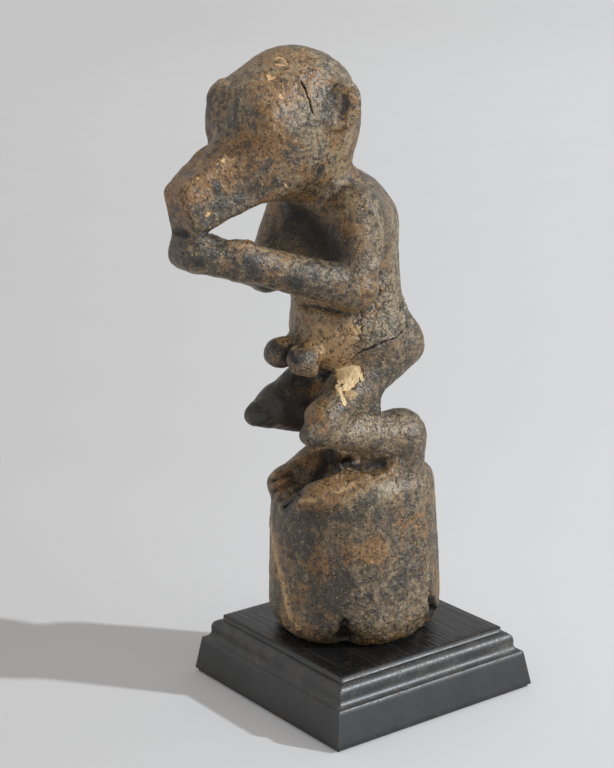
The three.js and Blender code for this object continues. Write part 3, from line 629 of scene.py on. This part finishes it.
def make_figure():
    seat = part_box("carved_figure")[0].z
    mesh = remeshed(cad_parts["carved_figure"], VOXEL)
    surface = Carving(mesh)
    surface.smooth(SMOOTH_ROUNDS)
    surface.find_places()
    surface.mark(HEAD_MARKS, mirrored=True)
    surface.mark(BODY_MARKS)
    work_wood(surface, seat)
    surface.find_places()
    cut, crackled, puffed = crack_wood(surface)

    masks = {
        name: np.maximum.reduce([strength * surface.cover(*layer) for *layer, strength in layers])
        for name, layers in COLOUR_LAYERS.items()
    }
    first, _, number = cell_noise(surface.co, PIT_SIZE, 91)
    pits = fade(0.16, 0.05, first) * (number > 0.6)
    missing = BARE_DEPTH * masks["bare"] + CHIP_DEPTH * masks["chip"] + PIT_DEPTH * pits
    surface.push(np.minimum(cut, -CRACKLE_DEPTH * crackled) + puffed - missing)
    surface.co[surface.co[:, 2] < seat + SEAT_FLAT, 2] = seat

    masks["black"] = np.maximum(masks["black"], 0.8 * pits)
    masks["crack"] = np.clip(np.maximum(-0.8 * cut / MM, 0.5 * crackled), 0, 1)
    masks["hollow"] = hollowness(surface)
    surface.write()
    finish_mesh(mesh, masks)
    piece = new_piece("carved_wood_figure", mesh, carved_wood())
    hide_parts("carved_figure")
    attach(piece, "figure")


def hollowness(surface):
    """How closed in each point is, from 0 in the open to 1 in a deep hollow."""
    tree = ray_tree(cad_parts["carved_figure"].data)
    rays = np.random.default_rng(HOLLOW_SEED).normal(size=(HOLLOW_RAYS, 3))
    rays /= np.linalg.norm(rays, axis=1)[:, None]
    normals = surface.normals()
    starts = [tuple(point) for point in surface.co + normals * HOLLOW_START]
    closed = np.zeros(len(starts))
    weights = np.zeros(len(starts))
    for ray in rays:
        facing = normals @ ray
        ways = [Vector(-ray), Vector(ray)]
        outward = (facing > 0).astype(int)
        reached = np.full(len(starts), HOLLOW_REACH)
        for index, start in enumerate(starts):
            away = tree.ray_cast(start, ways[outward[index]], HOLLOW_REACH)[3]
            if away is not None:
                reached[index] = away
        closed += np.abs(facing) * (1 - reached / HOLLOW_REACH)
        weights += np.abs(facing)
    closed /= weights
    for _ in range(HOLLOW_ROUNDS):
        closed = 0.5 * closed + 0.5 * surface.spread(closed)
    return np.clip(closed * HOLLOW_GAIN, 0, 1)


# Materials

def rgb(red, green, blue):
    """A colour from 0 to 255, as pictures hold it, in the linear values that a shader takes."""
    def linear(value):
        share = value / 255
        return share / 12.92 if share <= 0.04045 else ((share + 0.055) / 1.055) ** 2.4
    return (linear(red), linear(green), linear(blue), 1)


class Nodes:
    """Adds nodes to a tree. Each gives its outputs, and takes values or other outputs as inputs."""

    def __init__(self, tree):
        self.tree = tree

    def feed(self, node, inputs):
        for key, value in inputs.items():
            if isinstance(value, bpy.types.NodeSocket):
                self.tree.links.new(value, node.inputs[key])
            else:
                node.inputs[key].default_value = value

    def add(self, kind, inputs=None, **settings):
        node = self.tree.nodes.new(kind)
        for name, value in settings.items():
            setattr(node, name, value)
        self.feed(node, inputs or {})
        return node.outputs

    def maths(self, operation, total, *values):
        for value in values:
            total = self.add("ShaderNodeMath", {0: total, 1: value}, operation=operation)[0]
        return total

    def times(self, *values):
        return self.maths("MULTIPLY", *values)

    def plus(self, *values):
        return self.maths("ADD", *values)

    def mix(self, share, first, second):
        return self.add("ShaderNodeMix", {0: share, 6: first, 7: second}, data_type="RGBA")[2]


class Shade(Nodes):
    """Builds one material from nodes, on the object's own coordinates."""

    def __init__(self, name):
        self.material = bpy.data.materials.new(name)
        self.material.use_nodes = True
        super().__init__(self.material.node_tree)
        self.shader = self.tree.nodes["Principled BSDF"]
        self.place = self.add("ShaderNodeTexCoord")["Object"]

    def coat(self, share, paint):
        """Lays one more colour over the base colour."""
        self.base = self.mix(share, self.base, paint)

    def masks(self, *names):
        return [self.add("ShaderNodeAttribute", attribute_name=name)["Fac"] for name in names]

    def stretched(self, x, y, z):
        return self.add("ShaderNodeMapping", {"Vector": self.place, "Scale": (x, y, z)})["Vector"]

    def noise(self, size, detail, roughness=0.55, distortion=0.0, place=None):
        """Noise whose features are about size millimetres wide."""
        return self.add("ShaderNodeTexNoise", {
            "Vector": place or self.place, "Scale": 1 / (size * MM), "Detail": detail,
            "Roughness": roughness, "Distortion": distortion,
        })["Fac"]

    def cells(self, size, place=None):
        """Distance to the nearest of scattered spots, about size millimetres apart."""
        inputs = {"Vector": place or self.place, "Scale": 1 / (size * MM)}
        return self.add("ShaderNodeTexVoronoi", inputs)["Distance"]

    def span(self, value, low, high, start=0.0, end=1.0):
        """The value's way from low to high, as a smooth step from start to end."""
        inputs = dict(enumerate((value, low, high, start, end)))
        return self.add("ShaderNodeMapRange", inputs, interpolation_type="SMOOTHSTEP")["Result"]

    def bump(self, height, distance, strength):
        inputs = {"Height": height, "Distance": distance * MM, "Strength": strength}
        return self.add("ShaderNodeBump", inputs)["Normal"]

    def done(self, **inputs):
        """The material, with the base colour and these inputs of its shader."""
        self.feed(self.shader, {"Base Color": self.base})
        self.feed(self.shader, {name.replace("_", " "): value for name, value in inputs.items()})
        return self.material


def carved_wood():
    """Old wood, dark with oil, rubbed to a sheen, ochre showing through; painted shade and highlights too."""
    s = Shade("carved_wood_surface")
    hollow, crack, grime_and_painted_shade, lightened = s.masks("hollow", "crack", "grime_and_painted_shade", "lightened")
    bare, chip, rust, black, tan = s.masks("bare", "chip", "rust", "black", "tan")

    large = s.noise(22, 3, 0.6)
    middle = s.noise(6.5, 5, 0.68, 0.5)
    small = s.noise(2.8, 4, 0.7)
    fine = s.noise(1.3, 3, 0.7)
    crisp = s.noise(1.4, 4, 0.7)
    grain = s.noise(1.5, 4, 0.6, 0.2, s.stretched(1, 1, 0.13))
    first = s.noise(5.2, 6, 0.66, 0.7, s.stretched(1, 1.05, 0.95))
    second = s.noise(7.5, 6, 0.66, 0.7, s.stretched(0.9, 1, 1.1))
    third = s.noise(6, 6, 0.66, 0.7, s.stretched(1.1, 0.95, 1))
    drift = s.maths("SUBTRACT", s.noise(38, 2, 0.5), 0.5)

    def patch(noise, mask, low, high, share, way):
        """Soft blots that noise draws, more of them where the mask is and where the tone drifts their way."""
        drawn = s.plus(s.times(noise, 0.8), s.times(fine, 0.2), s.times(mask, 0.15), s.times(drift, way))
        return s.times(s.span(drawn, low, high), share)

    tone = s.plus(s.times(large, 0.4), s.times(middle, 0.35), s.times(small, 0.25))
    s.base = s.mix(s.span(tone, 0.43, 0.58), rgb(92, 78, 59), rgb(128, 109, 83))
    s.coat(patch(second, s.times(rust, 1.55), 0.51, 0.67, 0.8, 0.5), rgb(148, 107, 59))
    # Pale wear and painted highlights, where the marks above draw them
    s.coat(patch(third, lightened, 0.55, 0.69, 0.6, -0.25), rgb(168, 150, 118))
    # Dark crust, with painted shade where the black marks lie at the hands
    crust_and_painted_shade = patch(first, s.times(black, 0.95), 0.55, 0.65, 0.78, -0.5)
    s.coat(crust_and_painted_shade, rgb(50, 47, 43))
    # Tan patches, with painted light on the belly
    tanned = s.span(s.plus(s.times(tan, 0.75), second, s.times(fine, 0.3)), 0.98, 1.33)
    s.coat(tanned, rgb(190, 154, 106))

    s.coat(s.span(small, 0.49, 0.38, 0.0, 0.75), rgb(42, 36, 30))
    s.coat(s.span(small, 0.55, 0.66, 0.0, 0.4), rgb(178, 156, 120))
    rough_place = s.span(s.noise(7, 4, 0.6), 0.44, 0.6, 0.12, 0.75)
    s.coat(s.times(s.span(crisp, 0.48, 0.36), rough_place), rgb(36, 32, 28))
    s.coat(s.times(s.span(crisp, 0.55, 0.68), rough_place, 0.5), rgb(184, 160, 120))
    pores = s.span(s.cells(1.7), 0.3, 0.14)
    pores = s.times(pores, s.span(s.noise(6, 3), 0.47, 0.58))
    s.coat(s.times(pores, 0.9), rgb(22, 20, 19))
    specks = s.span(s.cells(3.1, place=s.stretched(1.1, 0.93, 1.0)), 0.2, 0.1)
    specks = s.times(specks, s.span(s.noise(9, 2), 0.48, 0.6))
    s.coat(s.times(specks, 0.7), rgb(206, 174, 118))

    # Painted shade: the colour darkens in the hollows, the more closed in they are
    s.coat(s.span(hollow, 0.45, 1.0, 0.0, 0.32), rgb(40, 33, 26))
    # Painted shade, with some dark grime, along the marks above, broken up by noise
    grime_and_shade_share = s.span(s.plus(s.times(grime_and_painted_shade, 0.33), s.times(middle, 0.5), s.times(small, 0.5)), 0.62, 0.82)
    s.coat(s.times(grime_and_shade_share, 0.92), rgb(22, 20, 18))
    wood = s.mix(s.span(grain, 0.35, 0.65), rgb(255, 232, 184), rgb(255, 215, 158))
    wood = s.mix(s.span(crisp, 0.57, 0.7, 0.0, 0.6), wood, rgb(190, 150, 102))
    bared = s.span(s.plus(bare, s.times(small, 0.55), s.times(fine, 0.35)), 0.85, 1.0)
    s.coat(bared, wood)
    chipped = s.span(s.plus(chip, s.times(small, 0.6), s.times(fine, 0.4)), 1.0, 1.15)
    s.coat(chipped, s.mix(s.span(fine, 0.4, 0.6), rgb(206, 156, 96), rgb(230, 196, 142)))
    s.coat(s.span(crack, 0.1, 0.7), rgb(22, 18, 15))

    rough = s.plus(0.34, s.times(s.span(small, 0.35, 0.65), 0.16), s.times(hollow, 0.15), s.times(grime_and_shade_share, 0.1))
    rough = s.plus(rough, s.times(s.maths("MAXIMUM", bared, chipped), 0.3))
    relief = s.plus(
        s.times(s.noise(6, 2, 0.5), 0.8), s.times(s.noise(2.6, 2, 0.5), 0.5), s.times(fine, 0.13),
        s.times(crisp, 0.1), s.times(crust_and_painted_shade, 0.12), s.times(pores, -0.4), s.times(specks, 0.1),
        s.times(grain, 0.06), s.times(bared, -0.2),
    )
    return s.done(Roughness=rough, Specular_IOR_Level=0.8, Normal=s.bump(relief, 1.4, 1.0))


def black_paint():
    """Black paint on wood, brushed along the grain, dusty in the mouldings and rubbed at the arrises."""
    s = Shade("plinth_black_paint")
    edge, dusty, flat = s.masks("edge", "dusty", "flat")
    streak = s.noise(2.4, 4, 0.6, 0.3, s.stretched(0.05, 1, 1))
    cloud = s.noise(14, 4, 0.6)
    fine = s.noise(0.9, 4, 0.65)
    specks = s.span(s.cells(3.1), 0.13, 0.06)
    s.base = s.mix(s.span(cloud, 0.3, 0.7), rgb(34, 35, 36), rgb(46, 47, 49))
    s.coat(flat, rgb(26, 26, 27))
    s.coat(s.times(s.span(streak, 0.52, 0.66), flat, 0.5), rgb(60, 60, 60))
    dust = s.times(s.span(s.plus(s.times(fine, 0.6), s.times(cloud, 0.4)), 0.48, 0.66), dusty)
    s.coat(s.times(dust, 0.6), rgb(118, 114, 104))
    s.coat(s.times(specks, 0.35), rgb(120, 116, 108))
    lightened = s.times(edge, s.span(s.plus(s.times(s.noise(5, 4, 0.7), 0.7), s.times(fine, 0.3)), 0.53, 0.62))
    s.coat(s.times(lightened, 0.6), rgb(98, 74, 54))
    rough = s.plus(0.37, s.times(s.span(fine, 0.3, 0.7), 0.1), s.times(dust, 0.2), s.times(lightened, 0.2))
    rough = s.maths("SUBTRACT", rough, s.times(flat, 0.17))
    shine = s.maths("SUBTRACT", 0.85, s.times(flat, 0.5))
    relief = s.plus(s.times(streak, flat, 2.4), s.times(streak, 0.25), s.times(fine, 0.15))
    return s.done(Roughness=rough, Specular_IOR_Level=shine, Normal=s.bump(relief, 0.5, 0.6))


def steel():
    """Turned steel, with fine rings and faint spots of tarnish."""
    s = Shade("turned_steel")
    rings = s.noise(0.35, 2, 0.5, 0.0, s.stretched(0.02, 0.02, 1))
    spots = s.noise(3, 5, 0.7)
    tarnish = s.span(spots, 0.5, 0.75)
    s.base = s.mix(tarnish, rgb(196, 198, 202), rgb(150, 140, 128))
    rough = s.plus(0.24, s.times(rings, 0.2), s.times(tarnish, 0.2))
    return s.done(Metallic=1.0, Roughness=rough, Normal=s.bump(rings, 0.06, 0.6))


def felt_cloth():
    """Black felt: short fibres lying every way, with a soft sheen."""
    s = Shade("black_felt")
    matted = s.noise(0.5, 6, 0.75, 1.2)
    clumps = s.noise(4, 4, 0.6)
    s.base = s.mix(s.span(matted, 0.3, 0.7), rgb(24, 24, 25), rgb(52, 52, 54))
    s.coat(s.times(s.span(clumps, 0.55, 0.7), 0.4), rgb(66, 65, 64))
    fibres = s.bump(s.plus(matted, s.times(clumps, 0.4)), 0.4, 0.9)
    return s.done(Roughness=0.95, Sheen_Weight=0.4, Sheen_Roughness=0.5, Normal=fibres)


# How far from the object, in metres, the paper has half of its full difference from side to side
PAPER_HALF = 0.9


def studio_paper():
    """Pale seamless paper. A faint painted light on it, for the camera only, changes across and with
    distance.
    """
    s = Shade("studio_paper")
    s.base = s.mix(s.span(s.noise(160, 3, 0.5), 0.35, 0.65), rgb(216, 215.5, 215), rgb(217, 216.5, 216))
    x, y, _ = s.add("ShaderNodeSeparateXYZ", {0: s.place})
    distance = s.maths("POWER", s.plus(s.times(x, x), s.times(y, y)), 0.5)
    across = s.plus(s.times(x, RIGHT.x), s.times(y, RIGHT.y))
    turn = s.maths("DIVIDE", across, s.plus(distance, PAPER_HALF))
    tone = s.plus(
        s.span(distance, 0.0, 0.6, 0.03, 0.0), s.span(distance, 2.5, 6.5, 0.0, -0.04),
        s.span(turn, -0.3, 0.3, -0.015, 0.155), s.span(turn, 0.22, 0.7, 0.0, -0.1),
        s.span(turn, -0.7, -0.22, 0.05, 0.0),
    )
    tone = s.times(s.maths("MAXIMUM", tone, 0.0), s.add("ShaderNodeLightPath")["Is Camera Ray"])
    glow = s.add("ShaderNodeCombineColor", {i: s.times(tone, share) for i, share in enumerate(PAPER_TINT)})
    return s.done(Roughness=0.95, Specular_IOR_Level=0.1, Emission_Color=glow[0], Emission_Strength=1.0)


# The plinth

# Points along each side, how the top and underside are split, and what counts as level
PLINTH_STEPS = 96
PLATE_STEP = 6 * MM
PLATE_ROUNDS = 3
ON_LEVEL = 0.01 * MM

# Its mouldings from the foot up: a leaning side with a ledge, a cove, a round and a flat top
LEAN = 3.0 * MM
LEDGE_HEIGHT = 18.9 * MM
COVE = 3.8 * MM
ROUND = 4.6 * MM
ROUND_DROP = 2.9 * MM
TOP_INSET = 0.3 * MM
CORNER = 0.7 * MM
CORNER_CUT = 0.3


def quarter(steps):
    """Sines and cosines of even steps from 0 to 90 degrees."""
    return [(math.sin(turn), math.cos(turn)) for turn in np.linspace(0, math.pi / 2, steps + 1)]


def plinth_outline(half, bottom, top):
    """Half the plinth's side at each height, from the underside up, with every arris slightly rounded."""
    ledge = bottom + LEDGE_HEIGHT
    cove_out = half - LEAN
    round_top = top - ROUND_DROP
    round_in = cove_out - COVE - ROUND
    edge = round_in - TOP_INSET
    points = [(half - 1.2 * MM, bottom), (half - 0.35 * MM, bottom + 0.1 * MM), (half, bottom + 0.5 * MM)]
    for share in np.linspace(0, 1, 10)[1:-1]:
        points.append((half - LEAN * share, bottom + 0.5 * MM + (LEDGE_HEIGHT - 1.0 * MM) * share))
    points += [(cove_out - 0.12 * MM, ledge - 0.28 * MM), (cove_out - 0.45 * MM, ledge)]
    points += [(cove_out - COVE * sin, ledge + COVE * (1 - cos)) for sin, cos in quarter(10)[1:]]
    points += [(round_in + ROUND * cos, round_top - ROUND * (1 - sin)) for sin, cos in quarter(12)]
    points += [(edge, round_top + 0.05 * MM), (edge, top - 0.5 * MM)]
    points += [(edge - 0.15 * MM, top - 0.15 * MM), (edge - 0.5 * MM, top)]
    return points


def square(half):
    """Points round a square with slightly cut corners."""
    points = []
    for side in range(4):
        turn = side * math.pi / 2
        cos, sin = round(math.cos(turn)), round(math.sin(turn))
        for step in range(PLINTH_STEPS):
            y = half * (2 * step / PLINTH_STEPS - 1)
            x = half - CORNER_CUT * max(CORNER - half + abs(y), 0)
            points.append((x * cos - y * sin, x * sin + y * cos))
    return points


def loop_edges(work, ring):
    """The edges round a ring of points, made where they are missing."""
    return [work.edges.get(pair) or work.edges.new(pair) for pair in zip(ring, ring[1:] + ring[:1])]


def fill_plate(work, numbers, height, bores):
    """Fills the plinth's top or underside within the numbered points, around bores."""
    work.verts.ensure_lookup_table()
    edges = loop_edges(work, [work.verts[number] for number in numbers])
    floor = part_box("main_pin")[0].z - BORE_CLEARANCE
    for middle, radius in bores:
        levels = ((height, radius + BORE_EDGE), (height - BORE_EDGE, radius), (floor, radius))
        rings = [[work.verts.new(point) for point in circle(middle, r, z, BORE_SIDES)] for z, r in levels]
        for upper, lower in zip(rings, rings[1:]):
            for k in range(BORE_SIDES):
                after = (k + 1) % BORE_SIDES
                work.faces.new((upper[k], upper[after], lower[after], lower[k]))
        work.faces.new(rings[-1])
        edges += loop_edges(work, rings[0])
    bmesh.ops.triangle_fill(work, edges=edges, use_beauty=True)

    def level_faces():
        return [f for f in work.faces if abs(f.calc_center_median().z - height) < ON_LEVEL]

    for _ in range(PLATE_ROUNDS):
        wide = dict.fromkeys(e for f in level_faces() for e in f.edges if e.calc_length() > PLATE_STEP)
        bmesh.ops.subdivide_edges(work, edges=list(wide), cuts=1)
        many = [f for f in level_faces() if len(f.verts) > 3 and abs(f.normal.z) > 0.99]
        bmesh.ops.triangulate(work, faces=many)


def make_plinth():
    low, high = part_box("plinth")
    outline = plinth_outline(high.x, low.z, high.z)
    count = 4 * PLINTH_STEPS
    points = [(x, y, height) for half, height in outline for x, y in square(half)]
    faces = [face for level in range(len(outline) - 1) for face in band(level * count, count)]
    mesh = mesh_from("plinth_skin", points, faces)
    work = bmesh.new()
    work.from_mesh(mesh)
    fill_plate(work, range(count), low.z, [])
    fill_plate(work, range(len(points) - count, len(points)), high.z, BORES)
    bmesh.ops.recalc_face_normals(work, faces=work.faces)
    work.to_mesh(mesh)
    work.free()

    surface = Surface(mesh)
    co = surface.co.copy()
    across, along, z = np.abs(co[:, 0]), np.abs(co[:, 1]), co[:, 2]
    side = np.maximum(across, along)
    ledge = low.z + LEDGE_HEIGHT
    inner = outline[-1][0]
    arris = np.maximum.reduce([
        fade(1.0 * MM, 0.2 * MM, np.abs(z - ledge)) * (side > high.x - 5 * MM),
        fade(0.9 * MM, 0.2 * MM, np.abs(z - high.z)) * fade(-1.8 * MM, 0.2 * MM, side - inner),
        fade(1.2 * MM, 0.2 * MM, np.abs(z - low.z)),
        fade(3 * MM, 0.5 * MM, np.abs(across - along)),
    ])
    chipped = fade(0.4, 0.7, rough_noise(co, 3.5 * MM, 101, 3)) * arris
    waves = uneven(co, 0.1, 30, 103, 2) + uneven(co, 0.03, 2.5, 105, 2)
    keep = fade(0.4 * MM, 2.2 * MM, beyond_bores(co))
    surface.push(np.minimum(waves - 0.1 * MM, 0) * keep - 0.3 * MM * chipped)
    surface.write()
    moulded = fade(-1 * MM, 1 * MM, z - ledge) * fade(0.1 * MM, -1.5 * MM, z - high.z)
    flat = fade(-0.6 * MM, -0.3 * MM, z - high.z)
    finish_mesh(mesh, {"edge": np.maximum(arris, chipped), "dusty": moulded, "flat": flat})
    piece = new_piece("black_moulded_plinth", mesh, black_paint())
    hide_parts("plinth")
    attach(piece, "stand")
    return piece


# The pins

PIN_SIDES = 64
PIN_CHAMFER = 0.8 * MM
GROOVE_PITCH = 1.6 * MM
# Each groove's points: how deep, and how far up from where it starts
GROOVE = ((0, 0), (0.12 * MM, 0.12 * MM), (0.12 * MM, 0.28 * MM), (0, 0.4 * MM))
GROOVES_FROM = 2.5 * MM
GROOVES_BELOW = 4 * MM


def pin_outline(radius, foot, top):
    """A pin's radius at each height, from the foot up, with chamfered ends and fine grooves between."""
    low, high = foot + PIN_CHAMFER, top - PIN_CHAMFER
    narrow, eased = radius - PIN_CHAMFER, radius - 0.05 * MM
    points = [(narrow, foot), (eased, low), (radius, low + 0.1 * MM)]
    start = foot + GROOVES_FROM
    while start < top - GROOVES_BELOW:
        points += [(radius - depth, start + up) for depth, up in GROOVE]
        start += GROOVE_PITCH
    return points + [(radius, high - 0.1 * MM), (eased, high), (narrow, top - 0.04 * MM)]


def make_pin(node, name):
    low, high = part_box(node)
    middle, _ = pin_bore(node)
    outline = pin_outline((high.x - low.x) / 2, low.z, high.z)
    points = [point for radius, height in outline for point in circle(middle, radius, height, PIN_SIDES)]
    faces = [face for level in range(len(outline) - 1) for face in band(level * PIN_SIDES, PIN_SIDES)]
    foot = len(points)
    last = foot - PIN_SIDES
    points += [(*middle, low.z), (*middle, high.z)]
    for k in range(PIN_SIDES):
        after = (k + 1) % PIN_SIDES
        faces += [(foot, after, k), (last + k, last + after, foot + 1)]
    piece = new_piece(name, mesh_from(name, points, faces), STEEL)
    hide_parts(node)
    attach(piece, "stand")


# The felt

FELT_STEPS = 90
FELT_ROUNDING = 0.12


def make_felt():
    """Two faces of small squares, joined round an edge that is thinner than the rest."""
    low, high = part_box("base_felt")
    side = high.x - low.x
    rounding = FELT_ROUNDING * (high.z - low.z)
    row = FELT_STEPS + 1
    over = row * row
    end = side / 2
    grid = np.linspace(-end, end, row)
    points, faces = [], []
    for level, inward in ((low.z, rounding), (high.z, -rounding)):
        points += [(x, y, level + inward * (max(abs(x), abs(y)) == end)) for y in grid for x in grid]
    for j in range(FELT_STEPS):
        for i in range(FELT_STEPS):
            a = j * row + i
            b = a + over
            faces += [(a, a + row, a + row + 1, a + 1), (b, b + 1, b + row + 1, b + row)]
    there, back = range(FELT_STEPS), range(FELT_STEPS, 0, -1)
    border = list(there) + [j * row + FELT_STEPS for j in there]
    border += [FELT_STEPS * row + i for i in back] + [j * row for j in back]
    faces += [(a, b, b + over, a + over) for a, b in zip(border, border[1:] + border[:1])]
    mesh = mesh_from("felt_sheet", points, faces)
    finish_mesh(mesh, {})
    piece = new_piece("felt_under_plinth", mesh, felt_cloth())
    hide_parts("base_felt")
    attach(piece, "stand")


# Floor and light

FLOOR_RINGS = 40
FLOOR_SIDES = 96
FLOOR_REACH = 14.0
LIT_MIDDLE = Vector((0, 0, 0.15))
KEY_ANGLE = math.radians(1.8)
SOFTBOX_SPREAD = math.radians(90)


def make_floor():
    points = [(0, 0, 0)]
    faces = [(0, 1 + k, 1 + (k + 1) % FLOOR_SIDES) for k in range(FLOOR_SIDES)]
    for ring in range(FLOOR_RINGS):
        points += circle((0, 0), FLOOR_REACH * ((ring + 1) / FLOOR_RINGS) ** 2, 0, FLOOR_SIDES)
    for ring in range(FLOOR_RINGS - 1):
        faces += [face[::-1] for face in band(1 + ring * FLOOR_SIDES, FLOOR_SIDES)]
    floor = new_piece("floor", mesh_from("floor", points, faces), studio_paper())


def add_light(name, kind, energy, azimuth, elevation, distance, **settings):
    """A light that faces the figure's middle."""
    data = bpy.data.lights.new(name, kind)
    data.color = LIGHT_TINT
    data.energy = energy
    for setting, value in settings.items():
        setattr(data, setting, value)
    way = direction(azimuth, elevation)
    light = new_piece(name, data)
    light.location = LIT_MIDDLE + way * distance
    light.rotation_euler = way.to_track_quat("Z", "Y").to_euler()


def make_lights():
    """A far lamp as wide as the shadow's soft edge says, and a softbox with a grid that spares the floor."""
    add_light("key", "SUN", energy=2.05, azimuth=128.3, elevation=32, distance=2.4, angle=KEY_ANGLE)
    add_light(
        "side_softbox", "AREA", energy=0.65, azimuth=110, elevation=14, distance=1.5,
        shape="SQUARE", size=0.8, spread=SOFTBOX_SPREAD,
    )


def make_world():
    """Even, slightly warm light all round. The camera and reflections see a paler grey backdrop instead."""
    world = bpy.data.worlds.new("studio")
    bpy.context.scene.world = world
    world.use_nodes = True
    w = Nodes(world.node_tree)
    rays = w.add("ShaderNodeLightPath")
    seen = w.maths("MAXIMUM", rays["Is Camera Ray"], rays["Is Glossy Ray"])
    warm = [WORLD_LEVEL * share for share in WORLD_TINT]
    shown = w.mix(seen, warm + [1], [BACKDROP_LEVEL] * 3 + [1])
    w.feed(w.tree.nodes["Background"], {"Color": shown})


bpy.context.scene.view_settings.view_transform = "Standard"
STEEL = steel()
make_camera()
make_figure()
plinth = make_plinth()
make_pin("main_pin", "turned_main_pin")
make_pin("locating_pin", "turned_locating_pin")
make_felt()
make_floor()
make_world()
make_lights()
